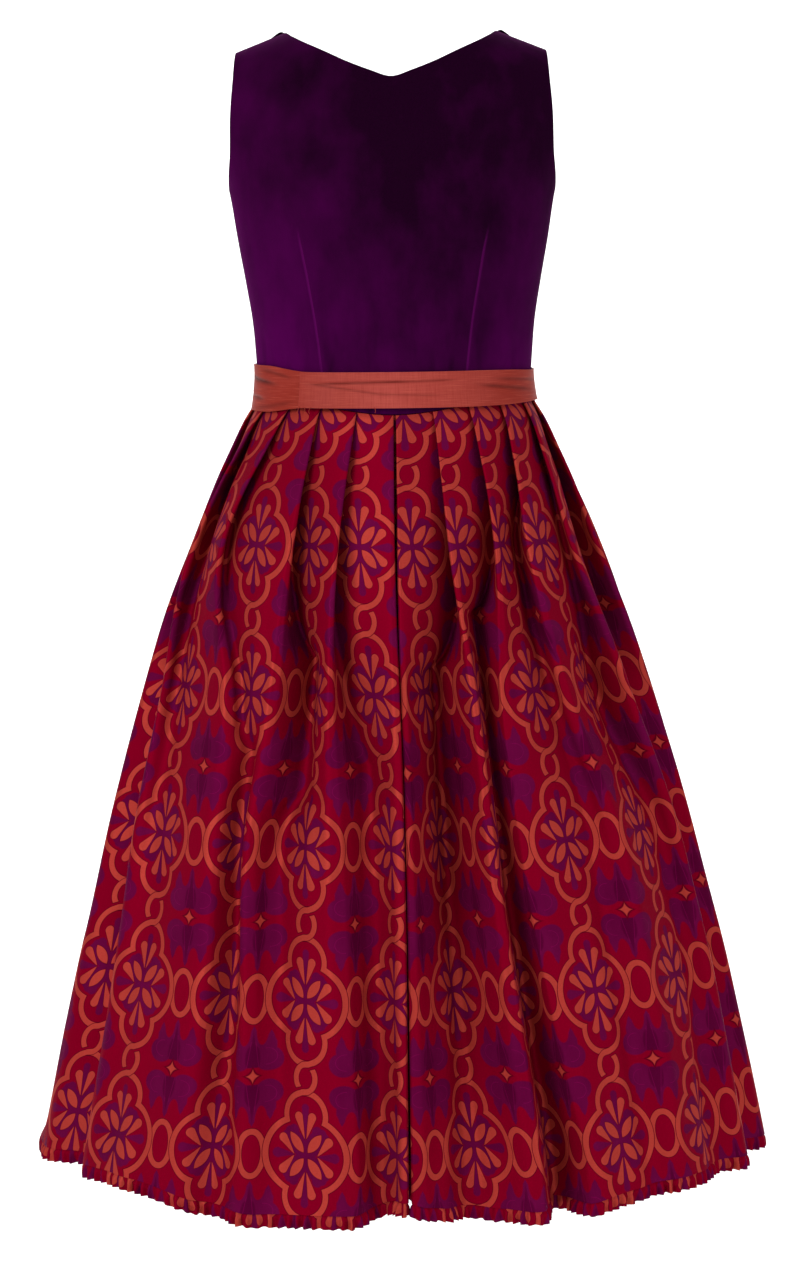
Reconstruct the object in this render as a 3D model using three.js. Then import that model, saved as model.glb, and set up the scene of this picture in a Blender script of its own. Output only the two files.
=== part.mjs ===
// A dirndl in the hollow form it keeps while it is worn: a fitted velvet bodice, a
// silk waist sash and a long pleated skirt with a gathered frill along its hem.
// Millimetres, +Z up, the wearer's front faces -Y and the back faces +Y.
// The origin is midway between the inner ends of the two shoulder seams.

import * as THREE from 'three';

// Cloth walls and the gap that is left at every seam.
const BODICE_WALL = 2.0;
const SASH_WALL = 1.4;
const SKIRT_WALL = 0.9;
const FRILL_WALL = 0.8;
const SEAM_GAP = 0.3;
const WAIST_GAP = 0.9;

// Shoulders.
const SHOULDER_INNER = 104.5;
const SHOULDER_SLOPE = 0.39;
const SHOULDER_ROLL = 50;

// Outer face of the bodice at each height.
const BODICE_RINGS = [
  { z: 40, halfWidth: 176, back: 56, front: 52 },
  { z: 0, halfWidth: 178, back: 66, front: 60 },
  { z: -45, halfWidth: 180, back: 79, front: 72 },
  { z: -90, halfWidth: 179, back: 91, front: 90 },
  { z: -128, halfWidth: 168, back: 99, front: 112 },
  { z: -156, halfWidth: 160, back: 103, front: 127 },
  { z: -200, halfWidth: 153, back: 104, front: 134 },
  { z: -242, halfWidth: 145.6, back: 101, front: 122 },
  { z: -281, halfWidth: 139.5, back: 98, front: 108 },
  { z: -321, halfWidth: 136.2, back: 96.5, front: 98 },
  { z: -345, halfWidth: 135, back: 97, front: 97 },
  { z: -375, halfWidth: 136.6, back: 100.8, front: 99 },
];

// Top edge of half a panel, from the middle to the end of the shoulder, and the
// angle at which the column of cloth below each point leaves the waist.
const BACK_TOP = [
  { x: 0, z: -45.5, waist: 0 },
  { x: 20, z: -39.5, waist: 8 },
  { x: 43, z: -30.5, waist: 16 },
  { x: 64, z: -20.5, waist: 23 },
  { x: 84, z: -11, waist: 30 },
  { x: 96, z: -4.5, waist: 37 },
  { x: 104.5, z: 0, waist: 45 },
  { x: 118, z: -5.3, waist: 56 },
  { x: 131, z: -10.3, waist: 68 },
  { x: 142, z: -14.6, waist: 80 },
  { x: 152, z: -18.5, waist: 90 },
];
const FRONT_TOP = [
  { x: 0, z: -112, waist: 0 },
  { x: 22, z: -110, waist: 8 },
  { x: 44, z: -101, waist: 16 },
  { x: 63, z: -84, waist: 23 },
  { x: 80, z: -56, waist: 30 },
  { x: 94, z: -26, waist: 37 },
  { x: 104.5, z: 0, waist: 45 },
  { x: 118, z: -5.3, waist: 56 },
  { x: 131, z: -10.3, waist: 68 },
  { x: 142, z: -14.6, waist: 80 },
  { x: 152, z: -18.5, waist: 90 },
];

// Angle of the side edge at each height: the armhole, then the side seam.
const ARMHOLE = [
  { z: -18.5, back: 58.3, front: 58.3 },
  { z: -52, back: 59.1, front: 55.9 },
  { z: -92, back: 61.6, front: 57.5 },
  { z: -112, back: 65.5, front: 61.5 },
  { z: -128, back: 71, front: 67.5 },
  { z: -142, back: 78, front: 75.5 },
  { z: -151, back: 84.5, front: 83 },
  { z: -156, back: 90, front: 90 },
  { z: -160, back: 90, front: 90 },
];
const BODICE_FALLS = [
  0, 0.004, 0.016, 0.04, 0.09, 0.16, 0.24, 0.32, 0.404, 0.5, 0.61, 0.72, 0.82, 0.905,
  0.955, 1,
];

// One dart runs up from the waist on each side of the back and of the front.
const DART_COLUMN = 4;
const DART_SINK = 1.2;
const BACK_DART_TOP = -188;
const FRONT_DART_TOP = -215;

// Waist seam: level at the sides, dipping at the middle of the back.
const WAIST_SEAM = -359.2;
const WAIST_DIP = 10.3;
const WAIST_DIP_HALF_WIDTH = 104;

// Sash. Its outer end laps over the inner end at the left of the back.
const SASH_TOP = -328;
const SASH_BOTTOM = -362.4;
const SASH_OUTER_END = 41;
const SASH_INNER_END = -329;
const SASH_COLUMNS = 46;
const SASH_ROWS = 5;
const SASH_LIFT_TOP = 1.5;
const SASH_LIFT_BOTTOM = 5.3;
const SASH_LAP_LIFT = 2.2;
const SASH_LAP_TURN = 12;
const SASH_LAP_FADE = 16;
const SASH_CRUMPLE = 1.6;

// Crests of the skirt at each height, and how its pleats hang there.
// turn: angle through which a fold turns, bend: cloth in one fold,
// pocket: angle of the walls of the deep middle pleat, lip: half its mouth,
// lean: how far that pleat hangs towards the right.
const SKIRT_RINGS = [
  { z: -355, halfWidth: 137, turn: 180, bend: 3.2, pocket: 173, lip: 1.5, lean: 0 },
  { z: -362.5, halfWidth: 138.6, turn: 180, bend: 3.2, pocket: 173, lip: 1.5, lean: 0 },
  { z: -367, halfWidth: 141.4, turn: 179, bend: 3.2, pocket: 172, lip: 1.5, lean: 0 },
  { z: -380, halfWidth: 149.4, turn: 176, bend: 3.4, pocket: 165, lip: 1.6, lean: 0 },
  { z: -405, halfWidth: 161.6, turn: 170, bend: 4, pocket: 152, lip: 1.7, lean: 0 },
  { z: -440, halfWidth: 178.6, turn: 164, bend: 4.6, pocket: 135, lip: 1.9, lean: 0 },
  { z: -490, halfWidth: 200, turn: 155, bend: 7, pocket: 120, lip: 2, lean: 0 },
  { z: -560, halfWidth: 227.2, turn: 141, bend: 10, pocket: 108, lip: 2.1, lean: 1 },
  { z: -628, halfWidth: 249.4, turn: 126, bend: 14, pocket: 104, lip: 2.2, lean: 3 },
  { z: -700, halfWidth: 271.2, turn: 112, bend: 18, pocket: 102, lip: 2.3, lean: 5 },
  { z: -770, halfWidth: 290.8, turn: 100, bend: 21, pocket: 100, lip: 2.4, lean: 6 },
  { z: -840, halfWidth: 308.6, turn: 88, bend: 24, pocket: 100, lip: 2.5, lean: 6.7 },
  { z: -912, halfWidth: 327.2, turn: 78, bend: 26, pocket: 100, lip: 2.7, lean: 7 },
  { z: -980, halfWidth: 342.2, turn: 70, bend: 28, pocket: 101, lip: 2.9, lean: 7 },
  { z: -1048, halfWidth: 356.8, turn: 63, bend: 30, pocket: 102, lip: 3, lean: 7 },
  { z: -1120, halfWidth: 371, turn: 58, bend: 32, pocket: 103, lip: 3.2, lean: 7 },
];
const SKIRT_ROWS = [0, 0.013, 0.035, 0.075, 0.125, 0.19, 0.275, 0.375, 0.5, 0.64, 0.81, 1];
const WAIST_HALF_WIDTH = 141;
const WAIST_DEPTH = 100;
const HEM_HALF_WIDTH = 371;
const HEM_BACK = 281;
const HEM_FRONT = 225;

// Every pleat of the back takes one repeat of the cloth, and those from the side seam
// to the middle of the front take a little less. The edge of each pleat is given as a
// share of the way from the middle of the back to the middle of the front.
const PLEAT_CLOTH = 112;
const FRONT_PLEAT_CLOTH = 100;
const PLEAT_EDGES = {
  left: [
    { z: -365, edges: [99, 198, 295, 391, 484, 574, 658, 737, 812, 884] },
    { z: -490, edges: [105, 190, 345, 455, 532, 610, 687, 764, 842, 919] },
    { z: -628, edges: [97, 181, 255, 398, 488, 577, 667, 757, 846, 936] },
    { z: -770, edges: [80, 190, 240, 378, 473, 568, 662, 757, 852, 947] },
    { z: -912, edges: [64, 172, 228, 355, 455, 554, 654, 754, 853, 953] },
    { z: -1060, edges: [50, 158, 232, 350, 452, 554, 656, 758, 860, 962] },
  ],
  right: [
    { z: -365, edges: [99, 198, 295, 391, 484, 574, 658, 737, 812, 884] },
    { z: -490, edges: [96, 182, 248, 350, 445, 540, 634, 729, 824, 919] },
    { z: -628, edges: [110, 153, 250, 380, 473, 565, 658, 751, 843, 936] },
    { z: -770, edges: [114, 155, 285, 415, 504, 592, 681, 770, 858, 947] },
    { z: -912, edges: [124, 168, 290, 415, 505, 594, 684, 774, 863, 953] },
    { z: -1060, edges: [135, 192, 296, 405, 498, 591, 684, 776, 869, 962] },
  ],
};

// Cloth in the deep pleat at the middle of the back, and cloth from there to each of
// the first four pleat edges on each side. Each edge beyond is one pleat further.
const POCKET_CLOTH = [
  { z: -365, cloth: 165 },
  { z: -490, cloth: 157 },
  { z: -628, cloth: 152 },
  { z: -770, cloth: 147 },
  { z: -912, cloth: 142 },
  { z: -1060, cloth: 130 },
];
const EDGE_CLOTH = {
  left: [
    { z: -365, edges: [112, 224, 336, 448] },
    { z: -490, edges: [110, 214, 340, 446] },
    { z: -628, edges: [110, 225, 288, 401] },
    { z: -770, edges: [94, 205, 273, 386] },
    { z: -912, edges: [89, 193, 274, 387] },
    { z: -1060, edges: [82, 190, 274, 388] },
  ],
  right: [
    { z: -365, edges: [112, 224, 336, 448] },
    { z: -490, edges: [119, 234, 335, 430] },
    { z: -628, edges: [145, 228, 318, 454] },
    { z: -770, edges: [163, 241, 353, 470] },
    { z: -912, edges: [157, 248, 360, 477] },
    { z: -1060, edges: [153, 269, 374, 486] },
  ],
};

// A pleat that is folded tighter than its neighbours has sharper folds: pleats across
// half the skirt when all are alike, the power by which a fold sharpens, and the
// least cloth in a fold that is sharpened.
const USUAL_PLEATS = 10.4;
const SHARPENING = 1.5;
const SHARPEST_BEND = 7;

// Side seams lie under a pleat, halfway round each side.
const SEAM_PLEAT = 5;

// How far the hem dips below its level across the back, and rises below zero.
const HEM_DIPS = [
  { across: 371, dip: -6 },
  { across: 330, dip: -9 },
  { across: 290, dip: -12 },
  { across: 250, dip: -9 },
  { across: 220, dip: -3 },
  { across: 195, dip: 4 },
  { across: 165, dip: 6 },
  { across: 135, dip: 9 },
  { across: 100, dip: 7 },
  { across: 60, dip: 5 },
  { across: 28, dip: 3 },
  { across: 0, dip: -7 },
  { across: -25, dip: -1 },
  { across: -48, dip: 5 },
  { across: -80, dip: 9 },
  { across: -115, dip: 7 },
  { across: -170, dip: 6 },
  { across: -206, dip: 1 },
  { across: -285, dip: -4 },
  { across: -371, dip: 0 },
];
const HEM_DIPS_END = 40;

// Hem frill.
const SKIRT_HEM = -1105;
const FRILL_GAP = 0.6;
const FRILL_TALL = 12.4;
const FRILL_WAVES = 168;
const POINTS_PER_WAVE = 3;
const FRILL_GATHER = 0.9;
const FRILL_FLARE = 1.9;

const ARC_STEPS = 360;
const BEND_STEPS = 8;
const LEAST_FLOOR = 2;

const radians = (degrees) => THREE.MathUtils.degToRad(degrees);
const mix = (from, to, share) => from + (to - from) * share;

// Smooth curve through one column of a table whose heights fall row by row.
function along(table, column, z) {
  const last = table.length - 1;
  if (z >= table[0].z) return table[0][column];
  if (z <= table[last].z) return table[last][column];
  let row = 0;
  while (z < table[row + 1].z) row += 1;
  const before = table[Math.max(row - 1, 0)];
  const from = table[row];
  const to = table[row + 1];
  const after = table[Math.min(row + 2, last)];
  const span = to.z - from.z;
  const t = (z - from.z) / span;
  const slopeFrom = ((to[column] - before[column]) / (to.z - before.z)) * span;
  const slopeTo = ((after[column] - from[column]) / (after.z - from.z)) * span;
  const t2 = t * t;
  const t3 = t2 * t;
  return (
    (2 * t3 - 3 * t2 + 1) * from[column] +
    (t3 - 2 * t2 + t) * slopeFrom +
    (3 * t2 - 2 * t3) * to[column] +
    (t3 - t2) * slopeTo
  );
}

// A table row with its list of edges laid out as columns 0, 1, 2 and so on.
const spread = (table) => table.map(({ z, edges }) => ({ z, ...edges }));
const EDGE_TABLES = { left: spread(PLEAT_EDGES.left), right: spread(PLEAT_EDGES.right) };
const CLOTH_TABLES = { left: spread(EDGE_CLOTH.left), right: spread(EDGE_CLOTH.right) };
const DIP_TABLE = HEM_DIPS.map(({ across, dip }) => ({ z: across, dip }));

// Closed wall between an outer and an inner grid of points [row][column].
function wallGeometry(outer, inner, ring) {
  const rows = outer.length;
  const columns = outer[0].length;
  const positions = [];
  for (const grid of [outer, inner]) {
    for (const row of grid) {
      for (const point of row) positions.push(point.x, point.y, point.z);
    }
  }
  const innerStart = rows * columns;
  const at = (row, column) => row * columns + (column % columns);
  const indices = [];
  const quad = (a, b, c, d) => indices.push(a, b, c, a, c, d);
  const spans = ring ? columns : columns - 1;
  for (let row = 0; row < rows - 1; row += 1) {
    for (let column = 0; column < spans; column += 1) {
      const [a, b] = [at(row, column), at(row, column + 1)];
      const [c, d] = [at(row + 1, column + 1), at(row + 1, column)];
      quad(a, b, c, d);
      quad(c + innerStart, b + innerStart, a + innerStart, d + innerStart);
    }
  }
  for (let column = 0; column < spans; column += 1) {
    const [top, topNext] = [at(0, column), at(0, column + 1)];
    const [low, lowNext] = [at(rows - 1, column), at(rows - 1, column + 1)];
    quad(topNext, top, top + innerStart, topNext + innerStart);
    quad(low, lowNext, lowNext + innerStart, low + innerStart);
  }
  if (!ring) {
    for (let row = 0; row < rows - 1; row += 1) {
      const [first, firstNext] = [at(row, 0), at(row + 1, 0)];
      const [end, endNext] = [at(row, columns - 1), at(row + 1, columns - 1)];
      quad(first, firstNext, firstNext + innerStart, first + innerStart);
      quad(endNext, end, end + innerStart, endNext + innerStart);
    }
  }
  const geometry = new THREE.BufferGeometry();
  geometry.setAttribute('position', new THREE.Float32BufferAttribute(positions, 3));
  geometry.setIndex(facesOutward(positions, indices) ? indices : [...indices].reverse());
  geometry.computeVertexNormals();
  return geometry;
}

function facesOutward(positions, indices) {
  const corners = [new THREE.Vector3(), new THREE.Vector3(), new THREE.Vector3()];
  let volume = 0;
  for (let i = 0; i < indices.length; i += 3) {
    corners.forEach((corner, n) => corner.fromArray(positions, indices[i + n] * 3));
    volume += corners[0].dot(corners[1].clone().cross(corners[2]));
  }
  return volume > 0;
}

function shoulderHeight(x) {
  return (SHOULDER_INNER - Math.abs(x)) * SHOULDER_SLOPE;
}

// Point on the outer face of the bodice. facing is 1 for the back, -1 for the front.
function bodicePoint(angle, z, facing) {
  const depth = along(BODICE_RINGS, facing > 0 ? 'back' : 'front', z);
  const x = along(BODICE_RINGS, 'halfWidth', z) * Math.sin(angle);
  const below = Math.max(shoulderHeight(x) - z, 0);
  const rest = Math.max(1 - below / SHOULDER_ROLL, 0);
  const roll = Math.sqrt(1 - rest * rest);
  const y = depth * Math.cos(angle) * roll + SEAM_GAP / 2;
  return new THREE.Vector3(x, y * facing, z);
}

// Direction from that point into the cloth, square to the surface.
function bodiceInward(angle, z, facing) {
  const across = bodicePoint(angle + 0.01, z, facing);
  across.sub(bodicePoint(angle - 0.01, z, facing));
  const upward = bodicePoint(angle, z + 0.5, facing);
  upward.sub(bodicePoint(angle, z - 0.5, facing));
  return across.cross(upward).normalize().multiplyScalar(facing);
}

function waistSeamHeight(x, facing) {
  if (facing < 0) return WAIST_SEAM;
  const share = Math.min(Math.abs(x) / WAIST_DIP_HALF_WIDTH, 1);
  return WAIST_SEAM - WAIST_DIP * Math.cos((share * Math.PI) / 2) ** 2;
}

// One column of bodice cloth, from the top edge down to the waist seam.
function bodiceColumn(index, sign, table, facing, dartTop) {
  const { x, z, waist } = table[index];
  const low = radians(waist);
  const sideEdge = (height) => radians(along(ARMHOLE, facing > 0 ? 'back' : 'front', height));
  const topShare = Math.asin(x / along(BODICE_RINGS, 'halfWidth', z)) / sideEdge(z);
  const waistX = along(BODICE_RINGS, 'halfWidth', WAIST_SEAM) * Math.sin(low);
  const bottom = waistSeamHeight(waistX, facing) + WAIST_GAP;
  const outer = [];
  const inner = [];
  for (const fall of BODICE_FALLS) {
    const height = mix(z, bottom, fall);
    const angle = sideEdge(height) * mix(topShare, waist / 90, fall);
    const point = bodicePoint(angle * sign, height, facing);
    const inward = bodiceInward(angle * sign, height, facing);
    if (index === DART_COLUMN && height < dartTop) {
      point.addScaledVector(inward, DART_SINK * Math.min((dartTop - height) / 40, 1));
    }
    outer.push(point);
    inner.push(point.clone().addScaledVector(inward, BODICE_WALL));
  }
  return { outer, inner };
}

// Wall of a bodice panel. Its shoulder and side edges stay clear of the plane y = 0.
function bodicePanel(columns, facing) {
  const grid = (face) => BODICE_FALLS.map((fall, row) => columns.map((line) => line[face][row]));
  const [outer, inner] = [grid('outer'), grid('inner')];
  for (const point of inner.flat()) {
    point.y = facing * Math.max(point.y * facing, SEAM_GAP / 2);
  }
  return { outer, inner };
}

function backPanel() {
  const columns = [];
  for (let index = BACK_TOP.length - 1; index > 0; index -= 1) {
    columns.push(bodiceColumn(index, -1, BACK_TOP, 1, BACK_DART_TOP));
  }
  for (let index = 0; index < BACK_TOP.length; index += 1) {
    columns.push(bodiceColumn(index, 1, BACK_TOP, 1, BACK_DART_TOP));
  }
  const { outer, inner } = bodicePanel(columns, 1);
  return wallGeometry(outer, inner, false);
}

function frontPanel(sign) {
  const columns = [];
  for (let index = 0; index < FRONT_TOP.length; index += 1) {
    columns.push(bodiceColumn(index, sign, FRONT_TOP, -1, FRONT_DART_TOP));
  }
  const { outer, inner } = bodicePanel(columns, -1);
  for (const point of [...outer.flat(), ...inner.flat()]) {
    point.x = sign * Math.max(point.x * sign, SEAM_GAP / 2);
  }
  return wallGeometry(outer, inner, false);
}

// The sash follows the bodice, lifted clear of it and of the top of the pleats.
function sash() {
  const outer = [];
  const inner = [];
  for (let row = 0; row < SASH_ROWS; row += 1) {
    const down = row / (SASH_ROWS - 1);
    const z = mix(SASH_TOP, SASH_BOTTOM, down);
    const outerRow = [];
    const innerRow = [];
    for (let column = 0; column < SASH_COLUMNS; column += 1) {
      const turn = mix(SASH_OUTER_END, SASH_INNER_END, column / (SASH_COLUMNS - 1));
      const angle = radians(turn);
      const facing = Math.cos(angle) > 0 ? 1 : -1;
      const halfWidth = along(BODICE_RINGS, 'halfWidth', z);
      const depth = along(BODICE_RINGS, facing > 0 ? 'back' : 'front', z);
      const past = Math.max(SASH_OUTER_END - turn - SASH_LAP_TURN, 0);
      const lap = 0.5 + 0.5 * Math.cos(Math.PI * Math.min(past / SASH_LAP_FADE, 1));
      const crumple = Math.max(1 - Math.abs(turn + 294) / 28, 0) * SASH_CRUMPLE;
      const crease = crumple * Math.sin(down * Math.PI * 4 + turn * 0.05);
      const lift =
        mix(SASH_LIFT_TOP, SASH_LIFT_BOTTOM, down) +
        SASH_LAP_LIFT * lap +
        Math.max(crease, -0.2);
      const normal = new THREE.Vector3(
        Math.sin(angle) / halfWidth,
        Math.cos(angle) / depth,
        0,
      ).normalize();
      const base = new THREE.Vector3(
        halfWidth * Math.sin(angle),
        depth * Math.cos(angle),
        z,
      );
      outerRow.push(base.clone().addScaledVector(normal, lift + SASH_WALL / 2));
      innerRow.push(base.clone().addScaledVector(normal, lift - SASH_WALL / 2));
    }
    outer.push(outerRow);
    inner.push(innerRow);
  }
  return wallGeometry(outer, inner, false);
}

// Level ring of the skirt: place and outward direction at a distance from the
// middle of the back, measured along the ring towards one side.
function skirtRing(z, sign) {
  const halfWidth = along(SKIRT_RINGS, 'halfWidth', z);
  const share = (halfWidth - WAIST_HALF_WIDTH) / (HEM_HALF_WIDTH - WAIST_HALF_WIDTH);
  const back = mix(WAIST_DEPTH, HEM_BACK, share);
  const front = mix(WAIST_DEPTH, HEM_FRONT, share);
  const depthAt = (angle) => (Math.cos(angle) > 0 ? back : front);
  const lengths = [0];
  const spot = (angle) =>
    new THREE.Vector2(halfWidth * Math.sin(angle), depthAt(angle) * Math.cos(angle));
  for (let step = 1; step <= ARC_STEPS; step += 1) {
    const from = spot((Math.PI * (step - 1)) / ARC_STEPS);
    const to = spot((Math.PI * step) / ARC_STEPS);
    lengths.push(lengths[step - 1] + from.distanceTo(to));
  }
  const half = lengths[ARC_STEPS];
  const angleAt = (distance) => {
    const inside = THREE.MathUtils.clamp(distance, 0, half);
    let step = 0;
    while (step < ARC_STEPS - 1 && lengths[step + 1] < inside) step += 1;
    const part = (inside - lengths[step]) / (lengths[step + 1] - lengths[step]);
    return (Math.PI * (step + part)) / ARC_STEPS;
  };
  const place = (distance, rise, height) => {
    const angle = angleAt(distance);
    const point = spot(angle);
    const outward = new THREE.Vector2(
      Math.sin(angle) / halfWidth,
      Math.cos(angle) / depthAt(angle),
    ).normalize();
    const beyond = distance - THREE.MathUtils.clamp(distance, 0, half);
    const x = point.x + outward.x * rise + outward.y * beyond;
    const y = point.y + outward.y * rise;
    return new THREE.Vector3(x * sign, y, height);
  };
  return { half, place };
}

// Heading of the cloth through one pleat: level run, fold, return, fold.
function headings(cloth, riser, bend, turn) {
  const run = cloth - riser - 2 * bend;
  return [
    { length: bend / 2, from: turn / 2, to: 0 },
    { length: run / 2, from: 0, to: 0 },
    { length: run / 2, from: 0, to: 0 },
    { length: bend / 2, from: 0, to: turn / 2 },
    { length: bend / 2, from: turn / 2, to: turn },
    { length: riser, from: turn, to: turn },
    { length: bend / 2, from: turn, to: turn / 2 },
  ];
}

// Straight reach of a run of headings.
function reach(parts) {
  const end = new THREE.Vector2();
  for (const { length, from, to } of parts) {
    for (let step = 0; step < BEND_STEPS; step += 1) {
      const angle = mix(from, to, (step + 0.5) / BEND_STEPS);
      end.x += (Math.cos(angle) * length) / BEND_STEPS;
      end.y += (Math.sin(angle) * length) / BEND_STEPS;
    }
  }
  return end;
}

// Finds the returning cloth and the fold angle that bring a pleat to its width.
function solvePleat(width, cloth, bend, turn) {
  const widthOf = (riser, angle) => reach(headings(cloth, riser, bend, angle)).length();
  const longest = (cloth - 2 * bend) * 0.48;
  if (widthOf(0, turn) < width) {
    const angle = bisect(0, turn, (value) => widthOf(0, value) > width);
    return headings(cloth, 0, bend, angle);
  }
  let angle = turn;
  while (widthOf(longest, angle) > width && angle < Math.PI) angle += radians(2);
  const riser = bisect(0, longest, (value) => widthOf(value, angle) > width);
  return headings(cloth, riser, bend, angle);
}

function bisect(low, high, isLow) {
  let [from, to] = [low, high];
  for (let step = 0; step < 40; step += 1) {
    const middle = (from + to) / 2;
    if (isLow(middle)) from = middle;
    else to = middle;
  }
  return (from + to) / 2;
}

// Walks a list of headings and returns the points reached, turned by tilt.
function walk(parts, start, tilt) {
  const points = [];
  let [place, rise] = start;
  for (const { length, from, to } of parts) {
    points.push({ along: place, rise, heading: from - tilt });
    for (let step = 0; step < BEND_STEPS; step += 1) {
      const angle = mix(from, to, (step + 0.5) / BEND_STEPS) - tilt;
      place += (Math.cos(angle) * length) / BEND_STEPS;
      rise += (Math.sin(angle) * length) / BEND_STEPS;
    }
  }
  points.push({ along: place, rise, heading: parts.at(-1).to - tilt });
  return points;
}

// Deep middle pleat: level floor, fold, wall up to the lip.
function pocketHalf(cloth, wall, bend, lip, middle) {
  const parts = (floor) => {
    const side = cloth - floor - bend * 1.5;
    return [
      { length: floor, from: 0, to: 0 },
      { length: bend / 2, from: 0, to: wall / 2 },
      { length: bend / 2, from: wall / 2, to: wall },
      { length: side / 2, from: wall, to: wall },
      { length: side / 2, from: wall, to: wall },
      { length: bend / 2, from: wall, to: wall / 2 },
    ];
  };
  const widest = cloth - bend * 1.6;
  const floor = bisect(LEAST_FLOOR, widest, (value) => reach(parts(value)).x < lip);
  const fitted = parts(floor);
  const depth = reach(fitted).y;
  return walk(fitted, [middle, -depth], 0);
}

// Cloth in one pleat at one height.
function pleatCloth(side, pleat, z) {
  if (pleat > 4) return FRONT_PLEAT_CLOTH;
  if (pleat > 3) return PLEAT_CLOTH;
  const before = pleat === 0 ? 0 : along(CLOTH_TABLES[side], pleat - 1, z);
  return along(CLOTH_TABLES[side], pleat, z) - before;
}

// Half of the skirt's section at one height, from the middle of the back to the
// middle of the front, with the index of the cloth's side seam.
function halfSection(z, side, ring) {
  const hang = (column) => along(SKIRT_RINGS, column, z);
  const [bend, lip] = [hang('bend'), hang('lip')];
  const turn = radians(hang('turn'));
  const pocket = radians(hang('pocket'));
  const pocketBend = Math.min(bend, 12);
  const pocketCloth = along(POCKET_CLOTH, 'cloth', z) / 2;
  const middle = side === 'left' ? -hang('lean') : hang('lean');
  const points = pocketHalf(pocketCloth, pocket, pocketBend, lip, middle).slice(0, -1);
  const edges = [middle + lip];
  for (let pleat = 0; pleat < 10; pleat += 1) {
    edges.push((along(EDGE_TABLES[side], pleat, z) / 1000) * ring.half);
  }
  let seam = 0;
  for (let pleat = 0; pleat < 10; pleat += 1) {
    const width = edges[pleat + 1] - edges[pleat];
    const length = pleatCloth(side, pleat, z);
    const usual = ring.half / USUAL_PLEATS / PLEAT_CLOTH;
    const sharp = Math.min(width / length / usual, 1) ** SHARPENING;
    const ownBend = Math.max(bend * sharp, Math.min(bend, SHARPEST_BEND));
    const parts = solvePleat(width, length, ownBend, turn);
    const span = reach(parts);
    const steps = walk(parts, [edges[pleat], 0], Math.atan2(span.y, span.x));
    if (pleat === SEAM_PLEAT - 1) seam = points.length + 5;
    points.push(...steps.slice(0, -1));
  }
  const from = edges.at(-1);
  const fold = [{ length: bend / 2, from: turn / 2, to: 0 }];
  const turned = reach(fold);
  const level = (ring.half - from - turned.x) / 2;
  const runs = [1, 2].map(() => ({ length: level, from: 0, to: 0 }));
  points.push(...walk([...fold, ...runs], [from, -turned.y], 0));
  return { points, seam };
}

// How far the hem dips over a place of the ground. The dips end at the sides.
function hemDip(x, y) {
  const share = THREE.MathUtils.smoothstep(y, -HEM_DIPS_END, HEM_DIPS_END);
  return along(DIP_TABLE, 'dip', x) * share;
}

// Skirt wall between two places of its section, at every row from waist to hem.
function skirtRows(side, pick) {
  const sign = side === 'left' ? 1 : -1;
  const outer = [];
  const inner = [];
  for (const share of SKIRT_ROWS) {
    const usual = mix(WAIST_SEAM, SKIRT_HEM, share);
    const size = along(SKIRT_RINGS, 'halfWidth', usual);
    const ring = skirtRing(usual, sign);
    const section = halfSection(usual, side, ring);
    const chosen = pick(section);
    const shift = (face) =>
      chosen.map(({ along: place, rise, heading }) => {
        const spread = place - Math.sin(heading) * face;
        const height = rise + Math.cos(heading) * face - SKIRT_WALL / 2;
        const { x, y } = ring.place(spread, height, usual);
        const level = mix(waistSeamHeight(x, y > 0 ? 1 : -1), SKIRT_HEM, share);
        const z = level - hemDip(x, y) * share ** 3;
        const swell = along(SKIRT_RINGS, 'halfWidth', z) - size;
        return ring.place(spread, height + swell, z);
      });
    outer.push(shift(SKIRT_WALL / 2));
    inner.push(shift(-SKIRT_WALL / 2));
  }
  return { outer, inner };
}

// Point a little further along the cloth, so that seam edges stay apart.
function nudge(from, towards, distance) {
  const gap = Math.hypot(towards.along - from.along, towards.rise - from.rise);
  const share = distance / gap;
  return {
    along: mix(from.along, towards.along, share),
    rise: mix(from.rise, towards.rise, share),
    heading: from.heading,
  };
}

function backOfSkirt() {
  const pick = ({ points, seam }) => {
    const end = nudge(points[seam], points[seam - 1], SEAM_GAP / 2);
    return [...points.slice(0, seam), end];
  };
  const left = skirtRows('left', pick);
  const right = skirtRows('right', pick);
  const join = (face) =>
    left[face].map((row, n) => [...[...row].reverse(), ...right[face][n].slice(1)]);
  return wallGeometry(join('outer'), join('inner'), false);
}

function frontOfSkirt(side) {
  const pick = ({ points, seam }) => {
    const start = nudge(points[seam], points[seam + 1], SEAM_GAP / 2);
    const end = nudge(points.at(-1), points.at(-2), SEAM_GAP / 2);
    return [start, ...points.slice(seam + 1, -1), end];
  };
  const { outer, inner } = skirtRows(side, pick);
  return wallGeometry(outer, inner, false);
}

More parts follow.
